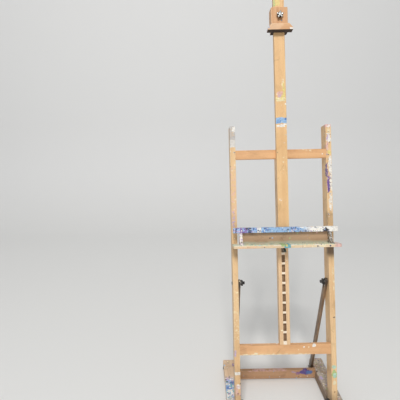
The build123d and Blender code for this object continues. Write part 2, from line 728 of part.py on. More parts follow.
head_rise = 2.5
with BuildPart() as clamp_screws:
    with BuildSketch(face_plane(clamp_rear - clamp_back_thick)):
        with Locations((0, (lip_top + block_top) / 2)):
            with GridLocations(clamp_screw_spread, clamp_screw_rows, 2, 2):
                Circle(screw_head / 2)
    extrude(amount=-head_rise, taper=20)
    with BuildSketch(face_plane(clamp_rear - clamp_back_thick)):
        with Locations((0, (lip_top + block_top) / 2)):
            with GridLocations(clamp_screw_spread, clamp_screw_rows, 2, 2):
                Circle(screw_shank / 2)
    extrude(amount=clamp_back_thick)
clamp_screws.part.label = "clamp_screws"
export_step(clamp_screws.part, "parts/clamp_screws.step")

with BuildPart() as clamp_bush:
    with BuildSketch(face_plane(clamp_block_front)):
        with Locations((0, knob_place)):
            Circle(bush_radius)
            Circle((frame_bolt + running_play) / 2, mode=Mode.SUBTRACT)
    extrude(amount=block_back - clamp_block_front)
clamp_bush.part.label = "clamp_bush"
export_step(clamp_bush.part, "parts/clamp_bush.step")

# the thumb screw: its stud turns in the bush and presses on the mast
clamp_hub = 6.0
clamp_knob_thick = 13.0
hub_face = clamp_block_front + turning_gap
with BuildPart() as clamp_stud:
    with BuildSketch(face_plane(mast_front + turning_gap)):
        with Locations((0, knob_place)):
            Circle(frame_bolt / 2)
    extrude(amount=hub_face + clamp_hub + 6 - mast_front - turning_gap)
clamp_stud.part.label = "clamp_stud"
export_step(clamp_stud.part, "parts/clamp_stud.step")

with BuildPart() as clamp_knob:
    with BuildSketch(face_plane(hub_face)):
        with Locations((0, knob_place)):
            Circle(0.26 * clamp_knob_size)
    extrude(amount=clamp_hub)
    with BuildSketch(face_plane(hub_face + clamp_hub)):
        with Locations((0, knob_place)):
            Circle(0.34 * clamp_knob_size)
            with PolarLocations(0.36 * clamp_knob_size, 5):
                Circle(0.14 * clamp_knob_size)
    extrude(amount=clamp_knob_thick)
    fillet(clamp_knob.faces().sort_by(out_axis)[-1].edges(), 2)
    with BuildSketch(face_plane(hub_face)):
        with Locations((0, knob_place)):
            Circle(frame_bolt / 2)
    extrude(amount=clamp_hub + 6, mode=Mode.SUBTRACT)
clamp_knob.part.label = "clamp_knob"
export_step(clamp_knob.part, "parts/clamp_knob.step")

# ================= canvas tray =================
bracket_inner = bracket_outer - bracket_thick
bracket_middle = bracket_outer - bracket_thick / 2
carriage_inner = mast_width / 2 + sliding_gap
carriage_rear = -post_depth - wrap_gap
tray_screw_outs = (panel_back + 12, panel_back + 50)
ledge_screw_out = (panel_back + ledge_front) / 2

with BuildPart() as canvas_ledge:
    with BuildSketch(face_plane(panel_back)):
        with Locations((0, ledge_bottom + ledge_height / 2)):
            Rectangle(ledge_width, ledge_height)
    extrude(amount=ledge_front - panel_back)
    fillet(canvas_ledge.edges().filter_by(Axis.X), 3)
    fillet(canvas_ledge.edges().filter_by(frame_axis), edge_round)
    with BuildSketch(cut_plane(ledge_top)):
        for side in (-1, 1):
            with Locations((side * bracket_middle, -ledge_screw_out)):
                Circle((screw_shank + hole_play) / 2)
    extrude(amount=-ledge_height, mode=Mode.SUBTRACT)
canvas_ledge.part.label = "canvas_ledge"
export_step(canvas_ledge.part, "parts/canvas_ledge.step")

with BuildPart() as tray_panel:
    with BuildSketch(face_plane(panel_back)):
        with Locations((0, (shelf_top + ledge_bottom) / 2)):
            Rectangle(2 * bracket_inner, ledge_bottom - shelf_top)
    extrude(amount=panel_thick)
tray_panel.part.label = "tray_panel"
export_step(tray_panel.part, "parts/tray_panel.step")

with BuildPart() as tray_shelf:
    with BuildSketch(face_plane(panel_back)):
        with Locations((0, shelf_bottom + shelf_thick / 2)):
            Rectangle(shelf_width, shelf_thick)
    extrude(amount=shelf_front - panel_back)
    fillet(tray_shelf.edges().filter_by(frame_axis).group_by(out_axis)[-1], 6)
    fillet(tray_shelf.faces().sort_by(out_axis)[-1].edges(), edge_round)
    with BuildSketch(cut_plane(shelf_bottom)):
        for side in (-1, 1):
            for out in tray_screw_outs:
                with Locations((side * bracket_middle, -out)):
                    Circle((screw_shank + hole_play) / 2)
    extrude(amount=shelf_thick, mode=Mode.SUBTRACT)
tray_shelf.part.label = "tray_shelf"
export_step(tray_shelf.part, "parts/tray_shelf.step")

# end brackets, hollowed in front between the ledge and the shelf
screw_bite = 20.0
for side, bracket_name in ((-1, "tray_left_bracket"), (1, "tray_right_bracket")):
    with BuildPart() as tray_bracket:
        toe = -shelf_front + bracket_foot_inset
        brow = -ledge_front + 2
        hollow_depth = brow - (ledge_bottom - shelf_top) * 0.12
        with BuildSketch(side_plane(min(side * bracket_inner, side * bracket_outer))):
            with BuildLine():
                Polyline((toe, shelf_top + 6), (toe, shelf_top), (-panel_back, shelf_top),
                         (-panel_back, ledge_bottom), (brow, ledge_bottom))
                ThreePointArc((brow, ledge_bottom), (hollow_depth, (shelf_top + ledge_bottom) / 2 - 8),
                              (toe, shelf_top + 6))
            make_face()
        extrude(amount=bracket_thick)
        with BuildSketch(cut_plane(shelf_top)):
            for out in tray_screw_outs:
                with Locations((side * bracket_middle, -out)):
                    Circle((screw_shank + hole_play) / 2)
        extrude(amount=screw_bite, mode=Mode.SUBTRACT)
        with BuildSketch(cut_plane(ledge_bottom)):
            with Locations((side * bracket_middle, -ledge_screw_out)):
                Circle((screw_shank + hole_play) / 2)
        extrude(amount=-screw_bite, mode=Mode.SUBTRACT)
    tray_bracket.part.label = bracket_name
    export_step(tray_bracket.part, f"parts/{bracket_name}.step")

with BuildPart() as tray_screws:
    for side in (-1, 1):
        for out in tray_screw_outs:
            with BuildSketch(cut_plane(shelf_bottom)):
                with Locations((side * bracket_middle, -out)):
                    Circle(screw_head / 2)
            extrude(amount=-head_rise, taper=20)
            with BuildSketch(cut_plane(shelf_bottom)):
                with Locations((side * bracket_middle, -out)):
                    Circle(screw_shank / 2)
            extrude(amount=shelf_thick + screw_bite - 2)
        with BuildSketch(cut_plane(ledge_top)):
            with Locations((side * bracket_middle, -ledge_screw_out)):
                Circle(screw_shank / 2)
        extrude(amount=-ledge_height - screw_bite + 2)
tray_screws.part.label = "tray_screws"
export_step(tray_screws.part, "parts/tray_screws.step")

for side, cheek_name in ((-1, "carriage_left_cheek"), (1, "carriage_right_cheek")):
    with BuildPart() as carriage_cheek:
        with BuildSketch(face_plane(carriage_rear)):
            with Locations((side * (carriage_inner + cheek_thick / 2), shelf_bottom + carriage_height / 2)):
                Rectangle(cheek_thick, carriage_height)
        extrude(amount=panel_back - carriage_rear)
    carriage_cheek.part.label = cheek_name
    export_step(carriage_cheek.part, f"parts/{cheek_name}.step")

carriage_screw_spread = 2 * carriage_inner + cheek_thick
carriage_screw_rows = 60.0
with BuildPart() as carriage_back:
    with BuildSketch(face_plane(carriage_rear)):
        with Locations((0, shelf_bottom + carriage_height / 2)):
            Rectangle(2 * (carriage_inner + cheek_thick), carriage_height)
    extrude(amount=-carriage_back_thick)
    fillet(carriage_back.faces().sort_by(out_axis)[0].edges(), 2)
    with BuildSketch(face_plane(carriage_rear)):
        with Locations((0, shelf_bottom + carriage_height / 2)):
            with GridLocations(carriage_screw_spread, carriage_screw_rows, 2, 2):
                Circle((screw_shank + hole_play) / 2)
    extrude(amount=-carriage_back_thick, mode=Mode.SUBTRACT)
carriage_back.part.label = "carriage_back"
export_step(carriage_back.part, "parts/carriage_back.step")

with BuildPart() as carriage_screws:
    with BuildSketch(face_plane(carriage_rear - carriage_back_thick)):
        with Locations((0, shelf_bottom + carriage_height / 2)):
            with GridLocations(carriage_screw_spread, carriage_screw_rows, 2, 2):
                Circle(screw_head / 2)
    extrude(amount=-head_rise, taper=20)
    with BuildSketch(face_plane(carriage_rear - carriage_back_thick)):
        with Locations((0, shelf_bottom + carriage_height / 2)):
            with GridLocations(carriage_screw_spread, carriage_screw_rows, 2, 2):
                Circle(screw_shank / 2)
    extrude(amount=carriage_back_thick)
carriage_screws.part.label = "carriage_screws"
export_step(carriage_screws.part, "parts/carriage_screws.step")

with BuildPart() as carriage_block:
    with BuildSketch(face_plane(mast_back)):
        with Locations((0, shelf_bottom + carriage_block_height / 2)):
            Rectangle(2 * carriage_inner, carriage_block_height)
    extrude(amount=panel_back - mast_back)
carriage_block.part.label = "carriage_block"
export_step(carriage_block.part, "parts/carriage_block.step")

# ================= pawl under the carriage block =================
pivot_along = shelf_bottom - pawl_pivot_drop
lug_inner = pawl_thick / 2 + turning_gap
lug_half = 9.0
pawl_plate = 3.0
with BuildPart() as pawl_bracket:
    with BuildSketch(cut_plane(shelf_bottom)):
        with Locations((0, -pawl_pivot_out)):
            Rectangle(2 * (lug_inner + lug_thick), 2 * lug_half)
    extrude(amount=-pawl_plate)
    for across in (-lug_inner - lug_thick, lug_inner):
        with BuildSketch(side_plane(across)):
            with Locations((-pawl_pivot_out, shelf_bottom - pawl_plate)):
                Rectangle(2 * lug_half, pawl_pivot_drop - pawl_plate, align=(Align.CENTER, Align.MAX))
            with Locations((-pawl_pivot_out, pivot_along)):
                Circle(lug_half)
                Circle((pawl_pin + hole_play) / 2, mode=Mode.SUBTRACT)
        extrude(amount=lug_thick)
pawl_bracket.part.label = "pawl_bracket"
export_step(pawl_bracket.part, "parts/pawl_bracket.step")

with BuildPart() as pawl_hinge_pin:
    with BuildSketch(side_plane(-lug_inner - lug_thick - 1.5)):
        with Locations((-pawl_pivot_out, pivot_along)):
            Circle(pawl_pin / 2)
    extrude(amount=2 * (lug_inner + lug_thick + 1.5))
pawl_hinge_pin.part.label = "pawl_hinge_pin"
export_step(pawl_hinge_pin.part, "parts/pawl_hinge_pin.step")

# the pawl: a nose that swings into a notch, and a finger tab to let it out
pawl_boss = 6.0
nose_turn = radians(pawl_rest_angle)
nose_at = Vector(-pawl_pivot_out + pawl_reach * cos(nose_turn), pivot_along - pawl_reach * sin(nose_turn))
tab_at = Vector(-pawl_pivot_out - 26, pivot_along - 16)
with BuildPart() as pawl:
    with BuildSketch(side_plane(-pawl_thick / 2)):
        with Locations((-pawl_pivot_out, pivot_along)):
            Circle(pawl_boss)
        with Locations((nose_at.X, nose_at.Y), (tab_at.X, tab_at.Y)):
            Circle(pawl_nose)
        for end in (nose_at, tab_at):
            direction = (end - Vector(-pawl_pivot_out, pivot_along)).normalized()
            square = Vector(-direction.Y, direction.X)
            root = Vector(-pawl_pivot_out, pivot_along)
            corners = (root + square * pawl_boss * 0.9, root - square * pawl_boss * 0.9,
                       end - square * pawl_nose, end + square * pawl_nose)
            Polygon(*[(corner.X, corner.Y) for corner in corners], align=None)
        with Locations((-pawl_pivot_out, pivot_along)):
            Circle((pawl_pin + running_play) / 2, mode=Mode.SUBTRACT)
    extrude(amount=pawl_thick)
pawl.part.label = "pawl"
export_step(pawl.part, "parts/pawl.step")
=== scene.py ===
# A paint-marked wooden studio easel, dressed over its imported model.
import json
import math

import bpy
import numpy as np
from mathutils import Matrix, Vector


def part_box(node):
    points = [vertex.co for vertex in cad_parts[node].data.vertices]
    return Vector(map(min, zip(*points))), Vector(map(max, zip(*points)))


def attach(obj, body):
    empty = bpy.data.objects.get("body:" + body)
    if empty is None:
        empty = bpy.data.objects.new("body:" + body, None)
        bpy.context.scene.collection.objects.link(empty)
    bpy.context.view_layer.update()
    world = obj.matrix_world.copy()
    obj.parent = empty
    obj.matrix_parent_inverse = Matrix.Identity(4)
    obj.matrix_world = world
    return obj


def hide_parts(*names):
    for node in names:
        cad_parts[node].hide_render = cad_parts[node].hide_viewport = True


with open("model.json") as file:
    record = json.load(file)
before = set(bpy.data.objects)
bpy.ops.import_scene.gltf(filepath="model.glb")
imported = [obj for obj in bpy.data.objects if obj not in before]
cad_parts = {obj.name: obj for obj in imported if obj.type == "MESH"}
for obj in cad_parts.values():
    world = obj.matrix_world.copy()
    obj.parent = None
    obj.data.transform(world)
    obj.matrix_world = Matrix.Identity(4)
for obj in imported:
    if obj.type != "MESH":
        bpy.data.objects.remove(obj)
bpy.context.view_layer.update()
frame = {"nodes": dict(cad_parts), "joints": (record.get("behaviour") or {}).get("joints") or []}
nodes = frame["nodes"]
joints = {joint["name"]: joint for joint in frame["joints"]}
print("frame loaded:", len(nodes), "nodes")

# directions of the leaning frame: across, up the frame, out towards the painter
acrossFrame = np.array([1.0, 0.0, 0.0])
upFrame = np.array(joints["mast_slide"]["axis"], float)
lean = math.atan2(upFrame[1], upFrame[2])
outFrame = np.array([0.0, -math.cos(lean), math.sin(lean)])
pivotAt = np.array(joints["frame_tilt"]["pos_m"], float)


def meshPoints(node):
    mesh = nodes[node].data
    flat = np.empty(len(mesh.vertices) * 3)
    mesh.vertices.foreach_get("co", flat)
    return flat.reshape(-1, 3)


# the origin of the leaning coordinates: the uprights' front face, level with the pivot
leanOrigin = pivotAt + outFrame * ((meshPoints("left_upright") - pivotAt) @ outFrame).max()


def fromLean(across, up, out):
    # a place on the leaning frame, in room coordinates
    return leanOrigin + across * acrossFrame + up * upFrame + out * outFrame


def leanBox(node):
    # lowest and highest across, up and out of a node
    offset = meshPoints(node) - leanOrigin
    local = np.stack([offset[:, 0], offset @ upFrame, offset @ outFrame], 1)
    return local.min(0), local.max(0)


def linear(red, green, blue):
    # a colour as the eye reads it, 0 to 255, as the renderer wants it
    return tuple(((c / 255 + 0.055) / 1.055) ** 2.4 for c in (red, green, blue)) + (1.0,)


def shade(colour, factor, lift=0.0):
    return tuple(min(1.0, c * factor + lift) for c in colour[:3]) + (1.0,)


class Wire:
    # a socket that can be used in sums: each sign adds one Math node
    def __init__(self, shader, socket):
        self.shader = shader
        self.socket = socket

    def __add__(self, other):
        return self.shader.maths("ADD", self, other)

    def __radd__(self, other):
        return self.shader.maths("ADD", other, self)

    def __sub__(self, other):
        return self.shader.maths("SUBTRACT", self, other)

    def __rsub__(self, other):
        return self.shader.maths("SUBTRACT", other, self)

    def __mul__(self, other):
        return self.shader.maths("MULTIPLY", self, other)

    def __rmul__(self, other):
        return self.shader.maths("MULTIPLY", other, self)

    def __truediv__(self, other):
        return self.shader.maths("DIVIDE", self, other)

    def __abs__(self):
        return self.shader.maths("ABSOLUTE", self)


class Finish:
    # one material: layers of colour, roughness and height that end in a Principled shader
    def __init__(self, name, turn=(0, 0, 0), middle=(0, 0, 0)):
        self.material = bpy.data.materials.new(name)
        self.material.use_nodes = True
        self.tree = self.material.node_tree
        self.tree.nodes.clear()
        coordinates = self.node("TexCoord", out="Object")
        self.place = self.node("Mapping", {"vector_type": "TEXTURE"},
                               {"Vector": coordinates, "Location": middle, "Rotation": turn})
        self.x, self.y, self.z = self.parts(self.place)

    def node(self, kind, settings=None, inputs=None, out=0):
        made = self.tree.nodes.new("ShaderNode" + kind)
        for key, value in (settings or {}).items():
            if key == "stops":
                ramp = made.color_ramp
                while len(ramp.elements) < len(value):
                    ramp.elements.new(0.5)
                for stop, (position, colour) in zip(ramp.elements, value):
                    stop.position = position
                    stop.color = colour
            elif key == "interpolation":
                made.color_ramp.interpolation = value
            else:
                setattr(made, key, value)
        for key, value in (inputs or {}).items():
            if isinstance(value, Wire):
                self.tree.links.new(value.socket, made.inputs[key])
            else:
                made.inputs[key].default_value = value
        return made if out is None else Wire(self, made.outputs[out])

    def parts(self, vector):
        split = self.node("SeparateXYZ", inputs={"Vector": vector}, out=None)
        return [Wire(self, split.outputs[i]) for i in range(3)]

    def maths(self, operation, *values, clamp=False):
        return self.node("Math", {"operation": operation, "use_clamp": clamp}, dict(enumerate(values)))

    def high(self, first, second):
        return self.maths("MAXIMUM", first, second)

    def ramp(self, value, start, end):
        # 0 before start, 1 after end, eased between; start may be above end
        return self.node("MapRange", {"interpolation_type": "SMOOTHSTEP"},
                         {"Value": value, "From Min": start, "From Max": end})

    def joined(self, x, y, z):
        return self.node("CombineXYZ", inputs={"X": x, "Y": y, "Z": z})

    def noise(self, vector, scale, detail=3.0, rough=0.55, warp=0.0, out=0):
        return self.node("TexNoise", {"noise_dimensions": "3D"},
                         {"Vector": vector, "Scale": scale, "Detail": detail,
                          "Roughness": rough, "Distortion": warp}, out=out)

    def shifted(self, vector, x, y, z):
        return self.node("VectorMath", {"operation": "ADD"}, {0: vector, 1: (x, y, z)})

    def pushed(self, vector, scale, reach, seed=0.0):
        # the same place pushed about by a coloured noise, up to half of reach each way
        push = self.noise(self.shifted(self.place, seed, 0, seed), scale, 3.0, 0.6, out=1)
        tones = self.node("SeparateColor", inputs={"Color": push}, out=None)
        start = self.parts(self.shifted(vector, *(-reach / 2,) * 3))
        return self.joined(*(self.maths("MULTIPLY_ADD", Wire(self, tones.outputs[i]), reach, start[i])
                             for i in range(3)))

    def blend(self, mask, first, second):
        return self.node("Mix", {"data_type": "RGBA"}, {0: mask, 6: first, 7: second}, out=2)

    def palette(self, value, colours):
        # colours side by side over 0.3 to 0.7, where most of a noise lies
        step = 0.4 / max(1, len(colours) - 1)
        stops = [(0.3 + step * i, colour) for i, colour in enumerate(colours)]
        return self.node("ValToRGB", {"interpolation": "CONSTANT", "stops": stops}, {"Fac": value})

    def lay(self, colour, rough, height=0.0):
        self.colour, self.rough, self.height = colour, rough, height

    def cover(self, mask, colour, rough, rise=0.0):
        # a new layer where mask is 1; rise is how far it stands up, in metres
        self.colour = self.blend(mask, self.colour, colour)
        self.rough = self.rough + mask * (rough - self.rough)
        if rise:
            self.height = self.height + mask * rise

    def finish(self, coat=0.0, coatRough=0.3, metallic=0.0):
        bump = self.node("Bump", inputs={"Strength": 1.0, "Distance": 1.0, "Height": self.height})
        surface = self.node("BsdfPrincipled", inputs={
            "Base Color": self.colour, "Roughness": self.rough, "Metallic": metallic,
            "Coat Weight": coat, "Coat Roughness": coatRough, "Normal": bump})
        self.node("OutputMaterial", inputs={"Surface": surface}, out=None)
        return self.material


def dress(material, *names):
    for name in names:
        slots = nodes[name].data.materials
        slots.clear()
        slots.append(material)


# lengths in metres, shares 0 to 1
timber = {
    "ringGap": 0.0034,       # growth rings, centre to centre
    "ringShade": 0.30,
    "pithAway": 0.09,        # the tree's heart, outside the timber
    "pithDrift": 0.020,      # how fast the heart runs off along the timber
    "ringWander": 0.011,
    "fibre": 420.0,          # fine fibres per metre, across
    "fibreShade": 0.34,
    "rayFleck": 620.0,       # short dark dashes, per metre
    "grainRise": 0.00010,
    "band": 34.0,            # broad paler and darker streaks, per metre
    "dirtSize": 9.0,         # clouds of handling dirt, per metre
    "dirtShade": 0.55,
    "dentSize": 46.0,
    "dentDeep": 0.00030,
    "scratchSize": 17.0,
    "scratchDeep": 0.00012,
    "edgeWear": 0.0028,
    "arris": 0.0009,
}


def woodFinish(name, turn, middle, grain, light, dark, half, seed=0.0, dirt=1.0, rough=0.5):
    # grain is the letter of the axis that the fibres follow; half is half of the section's two sides
    wood = Finish(name, turn, middle)
    axes = {"x": (wood.y, wood.z, wood.x), "y": (wood.x, wood.z, wood.y), "z": (wood.x, wood.y, wood.z)}
    sideA, sideB, run = axes[grain]
    wood.section = (sideA, sideB, run)
    wood.grain = grain
    wood.brush = None
    deep = shade(dark, 0.50)
    pale = shade(light, 1.10, 0.02)
    # growth rings: the distance from a heart that lies outside the timber and slowly runs off
    wander = wood.noise(wood.joined(sideA + seed, sideB, run * 0.10), 14.0, 2.0)
    heartA = sideA + run * timber["pithDrift"] + (0.6 * math.sin(seed) * timber["pithAway"])
    heartB = sideB + run * (timber["pithDrift"] * math.cos(seed * 3.0)) + timber["pithAway"]
    away = wood.maths("SQRT", heartA * heartA + heartB * heartB) + wander * timber["ringWander"]
    turnOf = wood.maths("FRACT", away * (1 / timber["ringGap"]))
    ring = wood.ramp(turnOf, 0.10, 0.86) * wood.ramp(turnOf, 1.0, 0.90)
    fibre = wood.noise(wood.joined(sideA + seed, sideB + seed, run * 0.03), timber["fibre"], 4.0, 0.65)
    streak = wood.noise(wood.joined(sideA + seed, sideB - seed, run * 0.045), timber["band"], 3.0, 0.5)
    dash = wood.noise(wood.joined(sideA + seed, sideB, run * 0.16), timber["rayFleck"], 1.0, 0.4)
    fleck = wood.ramp(dash, 0.62, 0.74)
    cloud = wood.noise(wood.shifted(wood.place, 0, seed * 1.7, 3.0), timber["dirtSize"], 5.0, 0.62, 0.4)
    wide = wood.noise(wood.shifted(wood.place, seed, 0, 0), 3.3, 3.0)
    depth = ring * timber["ringShade"] + fibre * timber["fibreShade"] + (streak - 0.42) * 1.5
    colour = wood.blend(wood.maths("ADD", depth, 0.02, clamp=True), light, dark)
    colour = wood.blend(fleck * 0.40, colour, deep)
    colour = wood.blend(wood.ramp(wide, 0.48, 0.74) * 0.35, colour, shade(dark, 0.92))
    colour = wood.blend(wood.ramp(wide, 0.46, 0.27) * 0.40, colour, pale)
    height = (fibre - 0.5) * timber["grainRise"] + ring * 0.00003 - fleck * 0.00005
    wood.lay(colour, fibre * 0.18 + (rough - 0.09), height)
    # handling dirt, dents and scratches
    grime = wood.ramp(cloud, 0.52, 0.72) * (timber["dirtShade"] * dirt)
    wood.cover(grime * 0.6, shade(dark, 0.52), 0.68)
    dents = wood.noise(wood.shifted(wood.place, 5.0, 0, seed), timber["dentSize"], 2.0, 0.4)
    wood.height = wood.height - wood.ramp(dents, 0.66, 0.80) * timber["dentDeep"]
    cell = wood.node("TexVoronoi", {"feature": "DISTANCE_TO_EDGE"},
                     {"Vector": wood.joined(sideA + seed, sideB, run * 0.24), "Scale": timber["scratchSize"]})
    scratch = wood.ramp(cell, 0.010, 0.002) * wood.ramp(cloud, 0.47, 0.60)
    wood.cover(scratch * 0.55, deep, 0.6, -timber["scratchDeep"])
    # long edges: rubbed pale in places and dark with hand grease in others
    toEdge = wood.high(half[0] - abs(sideA), half[1] - abs(sideB)) + (cloud - 0.5) * 0.006
    rubbed = wood.ramp(toEdge, timber["edgeWear"], timber["arris"])
    wood.cover(rubbed * wood.ramp(wide, 0.42, 0.54) * 0.55, pale, 0.44)
    wood.cover(rubbed * wood.ramp(wide, 0.52, 0.40) * 0.50, shade(dark, 0.55), 0.6)
    wood.cloud = cloud
    return wood


paints = {
    "white": linear(238, 235, 228),
    "offWhite": linear(216, 213, 208),
    "cream": linear(240, 228, 192),
    "yellow": linear(224, 208, 126),
    "pink": linear(222, 178, 174),
    "peach": linear(232, 186, 150),
    "lilac": linear(184, 166, 204),
    "purple": linear(124, 88, 158),
    "violet": linear(92, 74, 148),
    "sky": linear(150, 186, 222),
    "blue": linear(92, 128, 188),
    "navy": linear(52, 62, 104),
    "teal": linear(112, 176, 186),
    "mint": linear(176, 212, 190),
    "green": linear(168, 194, 126),
    "grey": linear(178, 181, 184),
    "dark": linear(58, 52, 50),
}


def mixOf(*names):
    return [paints[name] for name in names]


def brushFor(wood, seed):
    # shared by all the marks of one timber: loosened place, the brush's streaks, and where paint has worn off
    loose = wood.pushed(wood.place, 42.0, 0.020, seed)
    loose = wood.pushed(loose, 210.0, 0.006, seed)
    x, y, z = wood.parts(loose)
    letters = {"x": (y, z, x), "y": (x, z, y), "z": (x, y, z)}
    sideA, sideB, along = wood.section
    hairs = wood.noise(wood.joined(sideA * 0.30 + seed, sideB * 0.3, along), 260.0, 3.0, 0.6)
    patch = wood.noise(wood.shifted(wood.place, seed, 2.0, seed), 70.0, 4.0, 0.65)
    return (*letters[wood.grain], wood.ramp(hairs, 0.36, 0.64), patch * 0.6 + hairs * 0.4)


def brushed(wood, paint, run, side=None, third=None, cover=0.9, seed=0.0, rise=0.00015, round=False):
    # a brushed or wiped mark: run, side and third are (middle, half length) along, across and through;
    # the first mark on a timber gives the seed for all of them
    if wood.brush is None:
        wood.brush = brushFor(wood, seed)
    sideA, sideB, along, streaks, worn = wood.brush
    reach = abs(along - run[0]) / run[1]
    for wire, span in ((sideA, side), (sideB, third)):
        if span and round:
            off = (wire - span[0]) / span[1]
            reach = wood.maths("SQRT", reach * reach + off * off)
        elif span:
            reach = wood.high(reach, abs(wire - span[0]) / span[1])
    level = 0.66 - 0.36 * cover
    mask = wood.ramp(reach, 1.04, 0.90) * wood.ramp(worn, level - 0.05, level + 0.03)
    mask = mask * min(1.0, 0.55 + cover * 0.5)
    colour = paints[paint]
    tint = wood.blend(streaks, shade(colour, 0.74), shade(colour, 1.05, 0.01))
    wood.cover(mask, tint, 0.44, rise)


def drops(wood, colours, size=60.0, amount=0.3, dot=0.3, seed=0.0, region=None, rise=0.0003, pull=1.0):
    # thrown specks: cells of a Voronoi pattern, most left empty, each with its own size and colour
    loose = wood.pushed(wood.place, size * 3.0, 0.35 / size, seed)
    x, y, z = wood.parts(loose)
    loose = wood.joined(x + seed, y + seed * 0.6, z * pull)
    spot = wood.node("TexVoronoi", {"feature": "F1"}, {"Vector": loose, "Scale": size}, out=None)
    distance = Wire(wood, spot.outputs["Distance"])
    chance = wood.node("SeparateColor", inputs={"Color": Wire(wood, spot.outputs["Color"])}, out=None)
    first, second, third = (Wire(wood, chance.outputs[i]) for i in range(3))
    crowd = wood.noise(wood.shifted(wood.place, seed, seed, 0), 7.0, 3.0, 0.6)
    chosen = first - wood.ramp(crowd, 0.40, 0.66) * (amount * 1.3) - 0.02
    drop = wood.ramp(distance - third * third * dot, 0.07, 0.0) * wood.ramp(chosen, 0.01, -0.01)
    if region is not None:
        drop = drop * region
    step = 1.0 / len(colours)
    stops = [(index * step, colour) for index, colour in enumerate(colours)]
    picked = wood.node("ValToRGB", {"interpolation": "CONSTANT", "stops": stops}, {"Fac": second})
    wood.cover(drop, picked, 0.38, rise)


def crusted(wood, colours, mask, scale=30.0, seed=0.0, pull=(1, 1, 1), rise=0.0004):
    # old layers of paint over one another: patches of each colour with lifted edges
    place = wood.pushed(wood.place, scale * 2.4, 0.5 / scale, seed)
    x, y, z = wood.parts(place)
    place = wood.joined(x * pull[0] + seed, y * pull[1], z * pull[2])
    patch = wood.noise(place, scale, 4.0, 0.6)
    wood.cover(mask, wood.palette(patch, colours), 0.42)
    lump = wood.noise(wood.shifted(wood.place, seed, 0, 0), scale * 5.0, 3.0, 0.6)
    wood.height = wood.height + mask * ((patch - 0.5) * rise + (lump - 0.5) * (rise * 0.9) + rise * 0.4)


# light and dark tone of each kind of timber
beech = {
    "upright": (linear(236, 204, 158), linear(208, 166, 118)),
    "mast": (linear(234, 198, 146), linear(208, 160, 108)),
    "crossbar": (linear(230, 184, 134), linear(198, 142, 96)),
    "post": (linear(236, 204, 162), linear(208, 168, 126)),
    "rail": (linear(196, 170, 142), linear(152, 124, 98)),
    "crossRail": (linear(206, 164, 126), linear(162, 118, 84)),
    "clamp": (linear(220, 176, 130), linear(190, 138, 94)),
    "tray": (linear(218, 194, 154), linear(182, 150, 112)),
    "shelf": (linear(232, 210, 176), linear(204, 174, 138)),
    # the rail tone lightened: painted light on the left rail
    "litLeftRail": (linear(232, 204, 172), linear(196, 164, 134)),
    # panel: a darker tone, painted shade under the ledge
    "panel": (linear(188, 156, 124), linear(152, 120, 92)),
    # brace: a dark tone, partly painted shade
    "brace": (linear(160, 132, 102), linear(106, 82, 62)),
}


def leanWood(node, kind, grain="z", seed=0.0, dirt=1.0, rough=0.5):
    # timber of the leaning frame, from the middle of its node: x across, y back, z up the frame
    light, dark = beech[kind]
    low, high = leanBox(node)
    across, tall, deep = (high - low) / 2
    half = {"z": (across, deep), "x": (deep, tall)}[grain]
    middle = tuple(fromLean(*((low + high) / 2)))
    return woodFinish(node + "_wood", (-lean, 0.0, 0.0), middle, grain, light, dark, half, seed, dirt, rough)


def upAt(node, place):
    # a place up the frame, as measured from the middle of the node
    low, high = leanBox(node)
    return place - (low[1] + high[1]) / 2


# marks: paint, (place up the frame, half length), half width or None, middle across, cover
uprightMarks = {
    "left_upright": [
        ("grey", (1.514, 0.042), None, 0.0, 0.62), ("offWhite", (1.454, 0.021), None, 0.0, 0.80),
        ("white", (1.532, 0.018), 0.010, 0.006, 0.6), ("pink", (1.19, 0.14), None, 0.0, 0.28),
        ("lilac", (1.03, 0.05), 0.010, -0.004, 0.4), ("cream", (0.52, 0.16), None, 0.0, 0.22),
        ("white", (0.189, 0.008), None, 0.0, 0.75), ("white", (0.118, 0.012), 0.012, 0.004, 0.95),
        ("pink", (0.095, 0.030), None, 0.0, 0.4), ("lilac", (0.30, 0.02), 0.006, -0.010, 0.6),
    ],
    "right_upright": [
        ("pink", (1.545, 0.009), None, 0.0, 0.75), ("white", (1.541, 0.008), 0.011, 0.002, 0.6),
        ("cream", (1.515, 0.018), 0.010, 0.002, 0.55), ("lilac", (1.476, 0.022), 0.010, -0.002, 0.65),
        ("white", (1.468, 0.018), 0.009, 0.003, 0.75), ("pink", (1.430, 0.024), 0.007, -0.008, 0.6),
        ("yellow", (1.397, 0.008), 0.008, 0.003, 0.85), ("white", (1.33, 0.05), 0.010, 0.005, 0.75),
        ("white", (1.235, 0.055), 0.006, 0.009, 0.70), ("white", (1.12, 0.05), 0.009, 0.003, 0.6),
        ("violet", (1.30, 0.045), 0.004, -0.013, 0.7), ("purple", (1.222, 0.050), 0.008, -0.006, 0.85),
        ("violet", (1.205, 0.026), 0.005, -0.002, 0.7), ("cream", (0.70, 0.07), 0.005, 0.007, 0.4),
        ("mint", (0.215, 0.012), 0.013, 0.0, 0.7), ("green", (0.175, 0.024), 0.014, 0.0, 0.80),
        ("mint", (0.170, 0.016), 0.010, 0.001, 0.85), ("cream", (0.128, 0.010), 0.008, -0.002, 0.8),
        ("dark", (0.487, 0.004), 0.004, 0.006, 0.9),
    ],
}
